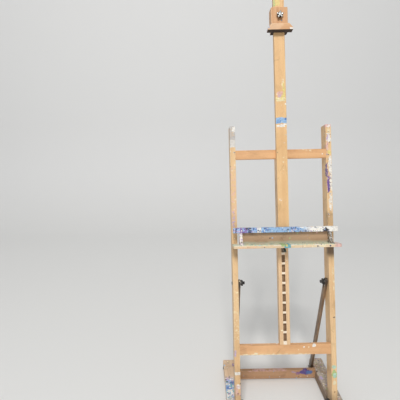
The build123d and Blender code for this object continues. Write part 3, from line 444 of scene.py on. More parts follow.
for seed, node in enumerate(uprightMarks):
    wood = leanWood(node, "upright", seed=1.3 + seed * 2.1)
    for paint, run, halfWide, across, cover in uprightMarks[node]:
        run = (upAt(node, run[0]), run[1])
        side = (across, halfWide) if halfWide else None
        brushed(wood, paint, run, side, (-0.032, 0.022), cover, float(seed), round=bool(halfWide))
    topHalf = wood.ramp(wood.z, 0.20, 0.50)
    lowEnd = wood.ramp(wood.z, -0.50, -0.68)
    speckled = wood.ramp(wood.y, 0.02, -0.02) * topHalf
    drops(wood, mixOf("white", "dark", "lilac", "grey", "navy", "white"), 130.0, 0.75, 0.5, 2.0 + seed,
          speckled)
    drops(wood, mixOf("white", "sky", "dark", "green", "pink"), 80.0, 0.30, 0.4, 6.0 + seed, lowEnd)
    drops(wood, mixOf("dark", "white", "cream"), 45.0, 0.12, 0.2, 16.0 + seed)
    # painted shade under the tray shelf, a darker band just above the ledge, and grease near the floor
    underShelf = wood.ramp(abs(wood.z - upAt(node, 0.858)), 0.048, 0.014)
    overLedge = wood.ramp(abs(wood.z - upAt(node, 1.03)), 0.050, 0.020)
    # strength of the painted shade band, stronger on the right upright
    shadeAndSoil = 0.85 if node == "right_upright" else 0.30
    patchy = wood.ramp(wood.cloud, 0.30, 0.56) * 0.6 + 0.4
    forward = wood.ramp(wood.y, 0.012, -0.026)
    wood.cover((underShelf + overLedge * 0.5) * patchy * forward * shadeAndSoil, linear(92, 72, 54), 0.6)
    lowest = wood.ramp(wood.z, upAt(node, 0.10), upAt(node, 0.03)) * (0.5 if node == "right_upright" else 0.2)
    wood.cover(lowEnd * wood.ramp(wood.cloud, 0.42, 0.62) * 0.25 + lowest, linear(110, 88, 68), 0.65)
    dress(wood.finish(coat=0.06, coatRough=0.35), node)
print("uprights finished")

# paint, (place up the frame, half length), half width, middle across, cover
mastMarks = [
    ("cream", (1.775, 0.030), 0.006, 0.012, 0.45), ("yellow", (1.738, 0.042), 0.007, 0.018, 0.60),
    ("yellow", (1.703, 0.012), 0.012, 0.012, 0.55), ("pink", (1.716, 0.016), 0.018, -0.004, 0.55),
    ("lilac", (1.704, 0.010), 0.012, -0.006, 0.4), ("cream", (1.686, 0.011), 0.027, 0.0, 0.75),
    ("yellow", (1.686, 0.011), 0.027, 0.0, 0.4),
    ("sky", (1.570, 0.016), 0.034, -0.001, 0.95), ("blue", (1.566, 0.008), 0.014, -0.014, 0.5),
    ("blue", (1.578, 0.007), 0.008, 0.024, 0.95), ("white", (1.542, 0.006), 0.022, -0.003, 0.8),
    ("white", (1.549, 0.005), 0.010, 0.018, 0.8), ("pink", (1.528, 0.008), 0.008, -0.014, 0.4),
    ("cream", (1.34, 0.06), 0.006, 0.006, 0.25), ("white", (1.14, 0.010), 0.008, -0.01, 0.4),
    ("yellow", (2.250, 0.050), 0.020, -0.012, 0.5), ("green", (2.215, 0.025), 0.006, -0.025, 0.5),
]
wood = leanWood("mast", "mast", seed=4.4, dirt=0.7)
for paint, run, halfWide, across, cover in mastMarks:
    run = (upAt("mast", run[0]), run[1])
    brushed(wood, paint, run, (across, halfWide), (-0.0125, 0.006), cover, round=halfWide < 0.02)
splashed = wood.ramp(abs(wood.z - upAt("mast", 1.60)), 0.20, 0.05)
drops(wood, mixOf("white", "yellow", "sky", "lilac", "dark", "pink"), 90.0, 0.7, 0.4, 3.3, splashed)
drops(wood, mixOf("dark", "white"), 40.0, 0.10, 0.16, 8.0)
dress(wood.finish(coat=0.08, coatRough=0.32), "mast")

for seed, node in enumerate(("upper_crossbar", "lower_crossbar")):
    wood = leanWood(node, "crossbar", grain="x", seed=7.1 + seed * 1.9, dirt=0.8)
    if node == "lower_crossbar":
        brushed(wood, "white", (0.158, 0.008), (-0.011, 0.014), (0.020, 0.010), 0.85, 1.0, round=True)
        brushed(wood, "cream", (-0.06, 0.20), (-0.011, 0.01), (-0.027, 0.005), 0.50)
        brushed(wood, "cream", (-0.16, 0.010), (-0.011, 0.01), (-0.020, 0.005), 0.7)
    else:
        brushed(wood, "cream", (0.12, 0.05), (-0.011, 0.01), (0.018, 0.006), 0.3, 4.0)
    drops(wood, mixOf("white", "cream", "dark", "pink"), 70.0, 0.22, 0.3, 1.0 + seed)
    dress(wood.finish(coat=0.06, coatRough=0.35), node)

wood = leanWood("ratchet_post", "post", seed=11.7)
# painted shade inside the notches
notchShade = wood.ramp(wood.y, -0.0150, -0.0115) * wood.ramp(abs(wood.x), 0.0105, 0.0088)
wood.cover(notchShade * 0.8, linear(112, 84, 60), 0.75)
# painted light: the sills and the front of each rung are made pale, stronger in patches
lip = wood.ramp(wood.y, -0.0128, -0.0160) * wood.ramp(abs(wood.x), 0.0105, 0.0080)
worn = wood.ramp(wood.noise(wood.place, 120.0, 3.0), 0.34, 0.50)
wood.cover(lip * (worn * 0.45 + 0.30), linear(244, 236, 220), 0.4)
# painted shade below the tray shelf, darker towards the top of the post
wood.cover(wood.ramp(wood.z, 0.16, 0.40) * wood.ramp(wood.cloud, 0.40, 0.58) * 0.4, linear(120, 90, 64), 0.6)
drops(wood, mixOf("white", "dark", "cream"), 60.0, 0.16, 0.25, 5.0)
dress(wood.finish(coat=0.04, coatRough=0.4), "ratchet_post")
dress(leanWood("post_dowels", "crossbar", seed=2.0).finish(), "post_dowels")
print("mast, bars and post finished")

clampNodes = ("clamp_front", "clamp_lip", "clamp_left_cheek", "clamp_right_cheek", "clamp_back")
for seed, node in enumerate(clampNodes):
    wood = leanWood(node, "clamp", grain="x" if node == "clamp_lip" else "z", seed=15.3 + seed, dirt=0.6)
    if node == "clamp_lip":
        wood.cover(wood.ramp(wood.cloud, 0.40, 0.60) * 0.30, linear(244, 216, 184), 0.42)
        brushed(wood, "white", (0.062, 0.010), (-0.018, 0.02), (-0.012, 0.006), 0.7, 3.0)
        brushed(wood, "sky", (-0.066, 0.006), (0.0, 0.03), (0.0, 0.012), 0.6)
    if node == "clamp_front":
        # the thumb screw's hub has rubbed a dark ring
        low, high = leanBox(node)
        fromScrew = wood.z - (joints["clamp_screw_turn"]["pos_m"] - fromLean(*((low + high) / 2))) @ upFrame
        ring = wood.maths("SQRT", wood.x * wood.x + fromScrew * fromScrew)
        rubbedRing = wood.ramp(ring, 0.024, 0.015) * wood.ramp(wood.cloud, 0.3, 0.5)
        wood.cover(rubbedRing * 0.45, linear(132, 92, 64), 0.5)
    drops(wood, mixOf("white", "sky", "dark"), 90.0, 0.2, 0.3, 4.0 + seed)
    # painted shade: dark under the lip, where the canvas is held, and under the cheeks
    low, high = leanBox(node)
    bottom = (low[1] - high[1]) / 2
    shadeBandDepth = 0.0022 if node == "clamp_lip" else 0.0012
    under = wood.ramp(wood.z, bottom + shadeBandDepth, bottom + shadeBandDepth * 0.5)
    fuzz = wood.noise(wood.place, 900.0, 3.0)
    wood.cover(under, wood.blend(fuzz, linear(46, 37, 32), linear(80, 64, 52)), 0.95)
    dress(wood.finish(coat=0.08, coatRough=0.3), node)

wood = leanWood("canvas_ledge", "tray", grain="x", seed=21.0)
everywhere = wood.ramp(wood.noise(wood.place, 26.0, 4.0, 0.6), 0.30, 0.36)
toRight = wood.ramp(wood.x + (wood.cloud - 0.5) * 0.10, 0.07, 0.14)
toLeft = wood.ramp(wood.x + (wood.cloud - 0.5) * 0.10, -0.15, -0.22)
crusted(wood, mixOf("navy", "blue", "sky", "blue", "sky", "sky", "white", "lilac"), everywhere, 24.0, 3.0,
        (0.5, 1, 1))
crusted(wood, mixOf("lilac", "purple", "sky", "lilac", "white", "blue"), toLeft * 0.95, 34.0, 7.0,
        (0.6, 1, 1))
crusted(wood, mixOf("dark", "grey", "white", "white", "white", "cream", "sky"), toRight, 40.0, 11.0,
        (0.6, 1, 1))
for place, paint, reach in ((-0.262, "navy", 0.004), (-0.19, "navy", 0.009), (-0.235, "purple", 0.008),
                            (0.262, "white", 0.016), (-0.03, "sky", 0.06), (-0.14, "white", 0.012)):
    brushed(wood, paint, (place, reach), cover=0.7, seed=-10.48, rise=0.0004)
drops(wood, mixOf("navy", "white", "dark", "blue", "navy", "purple"), 110.0, 0.8, 0.5, 5.0)
drops(wood, mixOf("navy", "white", "sky", "dark", "lilac"), 55.0, 0.6, 0.4, 9.0)
dress(wood.finish(coat=0.14, coatRough=0.25), "canvas_ledge")

# the panel's darker tone is painted shade under the ledge
wood = leanWood("tray_panel", "panel", grain="x", seed=23.0, dirt=1.5)
nearShelf = wood.ramp(wood.z + (wood.cloud - 0.5) * 0.03, -0.012, -0.028)
wood.cover(nearShelf * 0.6, linear(176, 188, 170), 0.5)
drops(wood, mixOf("white", "sky", "dark", "green", "pink", "yellow", "teal"), 75.0, 0.45, 0.4, 8.0)
dress(wood.finish(), "tray_panel")

wood = leanWood("tray_shelf", "shelf", grain="x", seed=25.0)
onTop = wood.ramp(wood.z, 0.0030, 0.0072)
stained = wood.ramp(wood.noise(wood.place, 16.0, 4.0, 0.6), 0.32, 0.44) * onTop
crusted(wood, mixOf("cream", "mint", "cream", "mint", "white", "mint", "white", "teal"), stained * 0.75,
        30.0, 4.0, (0.5, 1, 1), rise=0.0003)
brushed(wood, "teal", (0.000, 0.018), cover=0.9, seed=3.0, rise=0.0006)
brushed(wood, "green", (-0.024, 0.012), third=(0.006, 0.006), cover=0.8, rise=0.0006)
brushed(wood, "yellow", (-0.006, 0.006), third=(0.004, 0.006), cover=0.7, rise=0.0006)
brushed(wood, "pink", (0.262, 0.020), cover=0.6)
brushed(wood, "peach", (-0.21, 0.05), third=(-0.002, 0.006), cover=0.5)
brushed(wood, "cream", (0.16, 0.04), third=(-0.002, 0.006), cover=0.5)
drops(wood, mixOf("white", "teal", "dark", "green", "sky", "navy", "cream"), 95.0, 0.7, 0.5, 11.0)
dress(wood.finish(coat=0.05), "tray_shelf")

bracketPaint = {
    "tray_left_bracket": ("grey", "white", "lilac", "white", "cream"),
    "tray_right_bracket": ("dark", "grey", "dark", "grey", "white"),
}
for seed, node in enumerate(bracketPaint):
    wood = leanWood(node, "tray", seed=27.0 + seed)
    worn = wood.ramp(wood.noise(wood.place, 40.0, 3.0), 0.36, 0.44)
    crusted(wood, mixOf(*bracketPaint[node]), worn * 0.8, 45.0, 2.0 + seed)
    drops(wood, mixOf("dark", "sky", "dark", "lilac"), 110.0, 0.5, 0.4, 1.0 + seed)
    dress(wood.finish(), node)
carriageNodes = ("carriage_left_cheek", "carriage_right_cheek", "carriage_back", "carriage_block")
for seed, node in enumerate(carriageNodes):
    dress(leanWood(node, "post", seed=31.0 + seed, dirt=1.1).finish(), node)
print("clamp and tray finished")


def plainWood(node, kind, grain, half, seed, dirt, rough=0.55):
    # timber of the base, in room directions from the middle of its node
    low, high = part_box(node)
    light, dark = beech[kind]
    middle = tuple((low + high) / 2)
    return woodFinish(node + "_wood", (0, 0, 0), middle, grain, light, dark, half, seed, dirt, rough)


for seed, node in enumerate(("left_base_rail", "right_base_rail")):
    low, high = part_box(node)
    half = ((high.x - low.x) / 2, (high.z - low.z) / 2)
    # the left rail takes the lightened tone, painted light
    wood = plainWood(node, "rail" if seed else "litLeftRail", "y", half, 35.0 + seed, 1.4, rough=0.6)
    onTop = wood.ramp(wood.z, 0.012, 0.026)
    towards = wood.y + (wood.cloud - 0.5) * 0.07
    if node == "left_base_rail":
        thick = wood.ramp(towards, 0.135, 0.105) * wood.ramp(wood.z, -0.02, 0.02)
        crusted(wood, mixOf("blue", "sky", "white", "grey", "sky", "lilac", "white", "grey"), thick * 0.95,
                15.0, 3.0)
        brushed(wood, "blue", (0.085, 0.016), (0.004, 0.018), None, 0.75, 1.0, 0.0004, round=True)
        brushed(wood, "teal", (0.060, 0.012), (0.002, 0.022), cover=0.75, rise=0.0004, round=True)
        brushed(wood, "white", (0.020, 0.020), (0.000, 0.026), cover=0.85, rise=0.0004)
        brushed(wood, "purple", (0.225, 0.012), (0.028, 0.008), cover=0.8)
    else:
        aged = wood.ramp(wood.noise(wood.place, 14.0, 4.0, 0.6), 0.36, 0.50) * onTop
        crusted(wood, mixOf("grey", "grey", "white", "cream", "grey"), aged * 0.35, 60.0, 5.0)
        brushed(wood, "lilac", (0.11, 0.012), (-0.026, 0.010), None, 0.6, 1.0, round=True)
        brushed(wood, "purple", (0.06, 0.022), (0.005, 0.014), cover=0.45, round=True)
        brushed(wood, "green", (0.01, 0.03), (-0.018, 0.010), cover=0.4, round=True)
        # painted shade on the lower sides, where the inner face lies in shade, and a greyer front end
        wood.cover(wood.ramp(wood.z, 0.020, 0.004) * 0.42, linear(64, 54, 44), 0.65)
        wood.cover(wood.ramp(towards, 0.09, 0.02) * 0.35, linear(84, 76, 70), 0.6)
    speckle = onTop * 0.9 + 0.1
    drops(wood, mixOf("white", "lilac", "dark", "cream", "green", "navy", "pink"), 120.0, 0.8, 0.5,
          1.0 + seed, speckle)
    drops(wood, mixOf("white", "sky", "dark", "purple"), 60.0, 0.5, 0.35, 7.0 + seed, speckle)
    dress(wood.finish(), node)

low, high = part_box("rear_cross_rail")
wood = plainWood("rear_cross_rail", "crossRail", "x", ((high.y - low.y) / 2, (high.z - low.z) / 2), 41.0, 1.2)
brushed(wood, "violet", (0.190, 0.040), (-0.010, 0.03), (0.014, 0.018), 0.85, 2.0, round=True)
brushed(wood, "blue", (0.212, 0.022), (-0.010, 0.03), (0.012, 0.014), 0.75, round=True)
brushed(wood, "purple", (0.140, 0.016), (-0.010, 0.02), (0.006, 0.010), 0.55, round=True)
brushed(wood, "pink", (-0.05, 0.12), None, (0.028, 0.004), 0.5)
brushed(wood, "lilac", (0.115, 0.010), (-0.010, 0.02), (0.018, 0.008), 0.5)
drops(wood, mixOf("white", "sky", "dark", "lilac", "violet"), 75.0, 0.5, 0.35, 3.0)
dress(wood.finish(), "rear_cross_rail")

# braces: a dark stain, worn to brown wood along the faces; the dark tone is partly painted shade, as the
# braces lie in shadow
for seed, node in enumerate(("left_brace", "right_brace")):
    foot = joints[node + "_swing"]["pos_m"]
    bolt = joints[node + "_knob_turn"]["pos_m"]
    leanBack = math.atan2(foot[1] - bolt[1], bolt[2] - foot[2])
    low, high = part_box(node)
    middle = tuple((low + high) / 2)
    half = ((high.x - low.x) / 2, 0.013)
    wood = woodFinish(node + "_wood", (leanBack, 0, 0), middle, "z", *beech["brace"], half, 45.0 + seed,
                      0.8, 0.45)
    stain = wood.ramp(wood.noise(wood.joined(wood.x, wood.y, wood.z * 0.12), 90.0, 4.0, 0.6), 0.40, 0.58)
    wood.cover(stain * 0.50, linear(76, 60, 48), 0.42)
    wood.cover(wood.ramp(wood.z, -0.08, -0.30) * 0.5, linear(76, 58, 46), 0.42)
    wood.cover(wood.ramp(wood.z, 0.28, 0.33) * 0.8, linear(48, 44, 42), 0.42)
    drops(wood, mixOf("white", "cream", "dark"), 80.0, 0.25, 0.3, 1.0 + seed)
    dress(wood.finish(coat=0.15, coatRough=0.3), node)
print("base and braces finished")


def metalFinish(name, colour, rough, dull=0.5, scale=800.0, tarnish=linear(112, 92, 74), hollow=False):
    # turned, plated or cast metal: fine brushing, dull spots, and, if asked, painted shade between the lobes
    # and round the hub
    metal = Finish(name)
    brush = metal.noise(metal.joined(metal.x, metal.y * 0.2, metal.z * 0.2), scale, 3.0)
    cloud = metal.noise(metal.place, scale * 0.12, 4.0)
    spots = metal.ramp(cloud, 0.50, 0.68) * dull
    metal.lay(metal.blend(brush, colour, shade(colour, 0.80)), brush * 0.14 + rough, (brush - 0.5) * 0.00004)
    metal.cover(spots, tarnish, 0.62)
    if hollow:
        # painted shade between the lobes and round the hub, from a number kept with the knob's points
        deep = metal.node("Attribute", {"attribute_name": "hollow"}, out=2)
        metal.cover(metal.ramp(deep + (cloud - 0.5) * 0.5, 0.35, 0.75) * 0.92, linear(34, 31, 29), 0.6)
    return metal.finish(metallic=1.0 - spots * 0.8)


def plasticFinish(name, colour, rough, scale=1400.0):
    # moulded plastic: faint orange peel, dust, edges gone grey with handling, a few specks of paint
    plastic = Finish(name)
    peel = plastic.noise(plastic.place, scale, 2.0)
    dust = plastic.noise(plastic.place, scale * 0.06, 4.0, 0.6)
    plastic.lay(plastic.blend(dust, shade(colour, 0.7), shade(colour, 1.5, 0.004)), peel * 0.12 + rough,
                (peel - 0.5) * 0.00006)
    plastic.cover(plastic.ramp(dust, 0.52, 0.74) * 0.35, linear(112, 106, 98), 0.7)
    drops(plastic, mixOf("white", "sky", "cream"), 200.0, 0.25, 0.25, 3.0, rise=0.0001)
    return plastic.finish()


zinc = metalFinish("dull_zinc", linear(170, 170, 168), 0.34)
wornPlate = metalFinish("worn_plate", linear(140, 138, 132), 0.40, 0.8)
bushBrass = metalFinish("bush_brass", linear(198, 164, 96), 0.32, 0.4)
castSilver = metalFinish("cast_silver", linear(196, 197, 195), 0.30, 0.35, 500.0, linear(60, 56, 52), True)
blackPlastic = plasticFinish("black_knob", linear(30, 29, 29), 0.34)
nylon = plasticFinish("glide_nylon", linear(60, 58, 56), 0.55)
dress(zinc, "cross_rail_bolts", "pivot_washers", "brace_foot_nuts", "crossbar_bolts", "brace_washers",
      "mast_bolt", "guide_bolt", "mast_washers", "guide_nut", "clamp_screws", "tray_screws",
      "carriage_screws", "pawl_bracket", "pawl_hinge_pin", "clamp_stud", "pivot_bolts", "brace_foot_bolts",
      "brace_bolts")
dress(wornPlate, "pawl")
dress(bushBrass, "clamp_bush")
dress(nylon, "floor_glides")
print("metal and plastic finished")


def closedShell(name, grids, material, body):
    # grids is (shells, rows, around, 3): rings from one end to the other, closed round,
    # with a fan of triangles to the middle of the first ring and of the last
    shells, rows, around = grids.shape[:3]
    poles = grids[:, (0, -1)].mean(2)
    points = np.concatenate([grids.reshape(shells, -1, 3), poles], 1)
    block = rows * around + 2
    ring = np.arange(around)
    after = (ring + 1) % around
    row = np.arange(rows - 1)[:, None] * around
    quads = np.stack([row + ring, row + after, row + around + after, row + around + ring], -1).reshape(-1, 4)
    last = (rows - 1) * around
    caps = np.concatenate([np.stack([after, ring, np.full(around, rows * around)], 1),
                           np.stack([last + ring, last + after, np.full(around, rows * around + 1)], 1)])
    step = np.arange(shells)[:, None, None] * block
    mesh = bpy.data.meshes.new(name)
    faces = (quads + step).reshape(-1, 4).tolist() + (caps + step).reshape(-1, 3).tolist()
    mesh.from_pydata(points.reshape(-1, 3).tolist(), [], faces)
    mesh.polygons.foreach_set("use_smooth", [True] * len(mesh.polygons))
    mesh.materials.append(material)
    piece = bpy.data.objects.new(name, mesh)
    bpy.context.scene.collection.objects.link(piece)
    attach(piece, body)
    return piece


def lobedKnob(name, node, body, material, centre, axis, form):
    # rings along the axis from the profile; each ring's radius swells and dips with the lobes' cosine
    axis = np.array(axis, float)
    axis = axis / np.linalg.norm(axis)
    sideways = np.cross(axis, [0.31, 0.17, 0.93])
    sideways = sideways / np.linalg.norm(sideways)
    third = np.cross(axis, sideways)
    profile = np.array(form["profile"])
    radius = profile[:, 0][:, None]
    along = profile[:, 1][:, None]
    lobe = profile[:, 2][:, None]
    turn = np.linspace(0, 2 * math.pi, form["around"], endpoint=False)[None, :]
    wave = np.cos(form["lobes"] * turn)
    wave = np.sign(wave) * np.abs(wave) ** form["sharp"]
    reach = radius * (1 + lobe * (wave - 1) * 0.5)
    ringGrid = (np.array(centre) + along[..., None] * axis
                + (reach * np.cos(turn))[..., None] * sideways + (reach * np.sin(turn))[..., None] * third)
    knob = closedShell(name, ringGrid[None], material, body)
    # painted shade: the gaps between the lobes and the hub behind the head get a dark share
    behind = along < profile[:, 1].max() * 0.42
    hollow = np.clip((1 - wave) * 0.5 * lobe * 2.4 + behind, 0, 1)
    values = np.concatenate([hollow.ravel(), hollow[(0, -1), :].mean(1)])
    knob.data.attributes.new("hollow", "FLOAT", "POINT").data.foreach_set("value", values)
    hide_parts(node)


def rounded(outer, low, high, round, lobe, steps=6):
    # the outline of a disc edge: a quarter round at each end; rows are radius, along, depth of the lobes
    bend = np.linspace(0, math.pi / 2, steps)
    first = np.stack([outer - round + round * np.sin(bend), low + round - round * np.cos(bend)], 1)
    second = np.stack([outer - round + round * np.cos(bend), high - round + round * np.sin(bend)], 1)
    edge = np.concatenate([first, second])
    return [(r, a, lobe) for r, a in edge]


def knobForm(hub, neck, deep, head, lobes, bore, dome, lobe, sharp=1.0):
    # profile of a hub, a lobed head and a shallow domed cap; the first row lies on the hub's own end face
    rows = [(bore, 0.0, 0.0), (hub * 0.92, 0.0, 0.0), (hub, 0.0006, 0.0), (hub, neck * 0.7, 0.0),
            (hub * 1.15, neck * 0.95, 0.0), (head * 0.70, neck, lobe * 0.5)]
    rows += rounded(head, neck, neck + deep, min(0.0035, deep * 0.33), lobe)
    face = neck + deep
    rows += [(head * 0.66, face + dome * 0.35, lobe * 0.5), (head * 0.5, face - 0.0006, lobe * 0.2),
             (head * 0.46, face - 0.0012, 0.0), (head * 0.40, face - 0.0004, 0.0),
             (head * 0.25, face + dome * 0.8, 0.0), (head * 0.06, face + dome, 0.0)]
    return {"profile": rows, "around": lobes * 14, "lobes": lobes, "sharp": sharp}


def reachAlong(node, centre, axis):
    # how far a node reaches from a point along an axis, nearest and farthest, and out from the axis
    offset = meshPoints(node) - np.array(centre)
    axis = np.array(axis, float) / np.linalg.norm(axis)
    along = offset @ axis
    out = np.linalg.norm(offset - along[:, None] * axis, axis=1)
    return along.min(), along.max(), out.max()


studHole = 0.0041        # radius of the hole that each hub leaves for its stud
capSink = -0.0003
# hub: its radius; share: the head's part of the whole depth; lobe: how far the grips are cut in
pivotKnob = {"hub": 0.0105, "share": 0.62, "lobes": 7, "lobe": 0.20}
braceKnob = {"hub": 0.0082, "share": 0.52, "lobes": 6, "lobe": 0.22}
knobs = {
    "left_pivot_knob": pivotKnob,
    "right_pivot_knob": pivotKnob,
    "left_brace_knob": braceKnob,
    "right_brace_knob": braceKnob,
    "mast_knob": {"hub": 0.0096, "share": 0.60, "lobes": 7, "lobe": 0.20},
}
for node, kind in knobs.items():
    joint = joints[node + "_turn"]
    centre = np.array(joint["pos_m"])
    axis = np.array(joint["axis"], float)
    near, far, head = reachAlong(node, centre, axis)
    if abs(near) > abs(far):
        axis = -axis
        near, far = -far, -near
    deep = (far - near) * kind["share"]
    neck = far - near - deep
    form = knobForm(kind["hub"], neck, deep, head, kind["lobes"], studHole, capSink, kind["lobe"])
    lobedKnob(node + "_grip", node, node, blackPlastic, centre + axis * near, axis, form)

screwJoint = joints["clamp_screw_turn"]
screwAxis = np.array(screwJoint["axis"], float)
near, far, head = reachAlong("clamp_knob", screwJoint["pos_m"], screwAxis)
star = {"hub": 0.0098, "share": 0.66, "lobes": 5, "lobe": 0.42, "sharp": 0.8, "sink": -0.0004}
deep = (far - near) * star["share"]
form = knobForm(star["hub"], far - near - deep, deep, head, star["lobes"], studHole, star["sink"],
                star["lobe"], star["sharp"])
lobedKnob("clamp_knob_star", "clamp_knob", "clamp_screw", castSilver,
          np.array(screwJoint["pos_m"]) + screwAxis * near, screwAxis, form)
print("knobs made")


def crustFinish(name, colours, seed):
    # a drop's colour comes from the number kept with its points
    crust = Finish(name)
    pick = crust.node("Attribute", {"attribute_name": "paintPick"}, out=2)
    step = 1.0 / len(colours)
    stops = [(index * step, colour) for index, colour in enumerate(colours)]
    colour = crust.node("ValToRGB", {"interpolation": "CONSTANT", "stops": stops}, {"Fac": pick})
    skin = crust.noise(crust.place, 700.0, 3.0)
    shadeAndSoil = crust.noise(crust.shifted(crust.place, seed, 0, 0), 90.0, 3.0)
    crust.lay(crust.blend(skin, colour, crust.blend(0.28, colour, linear(60, 54, 60))), skin * 0.2 + 0.28,
              (skin - 0.5) * 0.00012)
    crust.cover(crust.ramp(shadeAndSoil, 0.52, 0.68) * 0.4, linear(128, 112, 96), 0.6)
    return crust.finish(coat=0.2, coatRough=0.2)


def driedDrops(name, body, field, seed):
    # domes of dried paint: each outline is a circle with three waves, each height a quarter of an ellipse
    luck = np.random.default_rng(seed)
    count = field["count"]
    middle = luck.uniform(-1, 1, (count, 2)) * np.array(field["spread"])
    if "crowd" in field:
        crowd = luck.uniform(-1, 1, (field["crowd"], 2)) * np.array(field["spread"])
        home = crowd[luck.integers(0, field["crowd"], count)]
        middle = home + luck.normal(0, 1, (count, 2)) * field["loose"]
        middle = np.clip(middle, -np.array(field["spread"]), np.array(field["spread"]))
    small, large = field["size"]
    radius = small * (large / small) ** (luck.random(count) ** 2.2)
    tall = radius * luck.uniform(*field["tall"], count)
    phase = luck.uniform(0, 2 * math.pi, (count, 4))
    around = 12
    turn = np.linspace(0, 2 * math.pi, around, endpoint=False)[None, :]
    wave = 1 + 0.20 * np.cos(2 * turn + phase[:, :1]) + 0.12 * np.cos(3 * turn + phase[:, 1:2])
    wave = wave + 0.06 * np.cos(5 * turn + phase[:, 2:3])
    rim = np.array([0.90, 1.0, 0.93, 0.72, 0.40])
    lift = np.array([-0.0004, -0.0002, 0.0, 0.0, 0.0])
    dome = np.array([0.0, 0.0, 0.45, 0.80, 1.0])
    reach = radius[:, None, None] * rim[None, :, None] * wave[:, None, :]
    height = (lift[None, :] + tall[:, None] * dome[None, :])[..., None]
    stretch = 1 + luck.random(count)[:, None, None] * field.get("stretch", 0.4)
    u = middle[:, 0, None, None] + reach * np.cos(turn)[:, None, :]
    v = middle[:, 1, None, None] + reach * np.sin(turn)[:, None, :] * stretch
    grid = (np.array(field["origin"]) + u[..., None] * np.array(field["across"])
            + v[..., None] * np.array(field["along"]) + height[..., None] * np.array(field["out"]))
    material = crustFinish(name + "_paint", mixOf(*field["paints"]), seed)
    crust = closedShell(name, grid, material, body)
    pick = crust.data.attributes.new("paintPick", "FLOAT", "POINT")
    pick.data.foreach_set("value", np.repeat(luck.random(count), len(rim) * around + 2))


def onNode(node, face, across=0.0, up=0.0):
    # a point on the front or the top of a leaning node, measured from that face's middle
    low, high = leanBox(node)
    middle = (low + high) / 2
    if face == "front":
        return fromLean(middle[0] + across, middle[1] + up, high[2])
    return fromLean(middle[0] + across, high[1], middle[2] + up)


flat = {"across": acrossFrame, "along": upFrame, "out": outFrame}
level = {"across": acrossFrame, "along": -outFrame, "out": upFrame}
floorLevel = {"across": acrossFrame, "along": np.array([0.0, 1.0, 0.0]), "out": np.array([0.0, 0.0, 1.0])}
leftRailLow, leftRailHigh = (np.array(corner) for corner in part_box("left_base_rail"))
rightRailLow, rightRailHigh = (np.array(corner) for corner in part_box("right_base_rail"))
rightFace = leanBox("right_upright")
crusts = {
    "ledge_front_drops": ("tray", "ledge_paint", {
        **flat, "origin": onNode("canvas_ledge", "front"), "spread": (0.268, 0.0095), "count": 150,
        "crowd": 16, "loose": (0.022, 0.006), "size": (0.0012, 0.0042), "tall": (0.16, 0.30),
        "paints": ("navy", "blue", "sky", "white", "lilac", "dark", "white")}),
    "ledge_top_drops": ("tray", "ledge_paint", {
        **level, "origin": onNode("canvas_ledge", "top", up=0.002), "spread": (0.265, 0.011), "count": 110,
        "crowd": 12, "loose": (0.03, 0.007), "size": (0.0014, 0.0048), "tall": (0.12, 0.26),
        "paints": ("white", "sky", "blue", "lilac", "grey", "cream")}),
    "shelf_drops": ("tray", "tray_wood", {
        **level, "origin": onNode("tray_shelf", "top", up=-0.018), "spread": (0.200, 0.013), "count": 130,
        "crowd": 12, "loose": (0.03, 0.009), "size": (0.0014, 0.0052), "tall": (0.10, 0.24),
        "paints": ("mint", "teal", "green", "white", "navy", "cream", "pink", "yellow")}),
    "left_rail_drops": ("base", "rail_wood", {
        **floorLevel, "origin": ((leftRailLow[0] + leftRailHigh[0]) / 2 - 0.012, leftRailLow[1] + 0.34,
                                 leftRailHigh[2]),
        "spread": (0.018, 0.075), "count": 70, "crowd": 8, "loose": (0.012, 0.02), "size": (0.0018, 0.0065),
        "tall": (0.12, 0.25), "paints": ("white", "sky", "lilac", "white", "teal", "grey")}),
    "right_rail_drops": ("base", "rail_wood", {
        **floorLevel, "origin": ((rightRailLow[0] + rightRailHigh[0]) / 2, rightRailLow[1] + 0.40,
                                 rightRailHigh[2]),
        "spread": (0.028, 0.11), "count": 60, "crowd": 9, "loose": (0.012, 0.03), "size": (0.0012, 0.0036),
        "tall": (0.12, 0.25), "paints": ("white", "lilac", "cream", "white", "dark", "green")}),
    "right_upright_drops": ("frame", "upright_wood", {
        **flat, "origin": fromLean((rightFace[0][0] + rightFace[1][0]) / 2, 1.27, 0.0),
        "spread": (0.011, 0.23), "count": 90, "crowd": 14, "loose": (0.005, 0.02),
        "size": (0.0009, 0.0034), "tall": (0.12, 0.25), "stretch": 1.2,
        "paints": ("white", "lilac", "white", "cream", "navy", "white")}),
}
for seed, (name, (body, slotName, field)) in enumerate(crusts.items()):
    driedDrops(name, body, field, 40 + seed)
print("dried paint laid on")

studio = {"front": -7.0, "wall": 4.2, "curve": 1.6, "height": 8.0, "width": 9.0,
          "floorTone": linear(226, 226, 225), "wallTone": linear(233, 233, 233)}


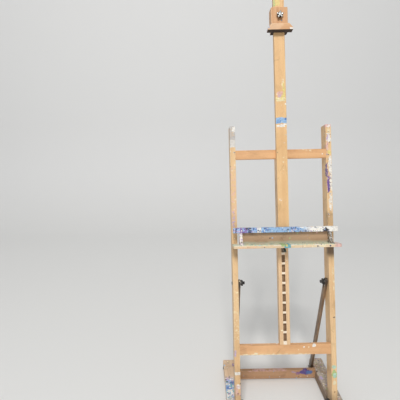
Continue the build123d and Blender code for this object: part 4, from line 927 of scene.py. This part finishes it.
def sweptStudio():
    # floor, quarter-round cove and wall: one profile in depth and height, carried straight across
    bend = np.linspace(0, math.pi / 2, 25)
    depth = studio["wall"] - studio["curve"] + studio["curve"] * np.sin(bend)
    height = studio["curve"] * (1 - np.cos(bend))
    depth = np.concatenate([[studio["front"]], depth, [studio["wall"]]])
    height = np.concatenate([[0.0], height, [studio["height"]]])
    across = np.array([-1.0, 1.0]) * studio["width"]
    grid = np.stack(np.broadcast_arrays(across[:, None], depth[None], height[None]), -1)
    count = len(depth)
    step = np.arange(count - 1)
    mesh = bpy.data.meshes.new("studio_sweep")
    mesh.from_pydata(grid.reshape(-1, 3).tolist(), [],
                     np.stack([step, step + count, step + count + 1, step + 1], 1).tolist())
    mesh.polygons.foreach_set("use_smooth", [True] * (count - 1))
    paper = Finish("studio_paper")
    rising = paper.ramp(paper.z + paper.y * 0.12, 0.02, 1.3)
    paper.lay(paper.blend(rising, studio["floorTone"], studio["wallTone"]), 0.9)
    mesh.materials.append(paper.finish())
    sweep = bpy.data.objects.new("studio_sweep", mesh)
    bpy.context.scene.collection.objects.link(sweep)


sweptStudio()

# power in watts, sizes and places in metres
softLights = {
    "key": {"place": (-1.3, -5.0, 8.4), "aim": (0, 0.1, 1.0), "size": 2.4, "power": 560.0,
            "tone": (1, 0.98, 0.95)},
    "front": {"place": (-0.6, -6.0, 1.0), "aim": (0, 0.1, 0.8), "size": 3.0, "power": 70.0,
              "tone": (1, 0.99, 0.97)},
}
for name, light in softLights.items():
    lamp = bpy.data.lights.new(name, "AREA")
    lamp.shape = "SQUARE"
    lamp.size = light["size"]
    lamp.energy = light["power"]
    lamp.color = light["tone"]
    holder = bpy.data.objects.new(name, lamp)
    bpy.context.scene.collection.objects.link(holder)
    holder.location = light["place"]
    towards = Vector(light["aim"]) - Vector(light["place"])
    holder.rotation_euler = towards.to_track_quat("-Z", "Y").to_euler()

air = bpy.data.worlds.new("studio_air")
bpy.context.scene.world = air
air.use_nodes = True
air.node_tree.nodes["Background"].inputs["Color"].default_value = (0.95, 0.98, 1.0, 1)
air.node_tree.nodes["Background"].inputs["Strength"].default_value = 0.36

viewpoint = {"place": (-0.4472, -1.5227, 1.5915), "down": 14.45, "roll": -1.24, "turn": 0.17, "lens": 27.26}
glass = bpy.data.cameras.new("camera")
glass.sensor_width = 36.0
glass.lens = viewpoint["lens"]
camera = bpy.data.objects.new("camera", glass)
bpy.context.scene.collection.objects.link(camera)
camera.location = viewpoint["place"]
camera.rotation_euler = (Matrix.Rotation(math.radians(viewpoint["turn"]), 4, "Z")
                         @ Matrix.Rotation(math.radians(90 - viewpoint["down"]), 4, "X")
                         @ Matrix.Rotation(math.radians(viewpoint["roll"]), 4, "Z")).to_euler()
bpy.context.scene.camera = camera
bpy.context.scene.view_settings.view_transform = "Standard"
print("studio ready")
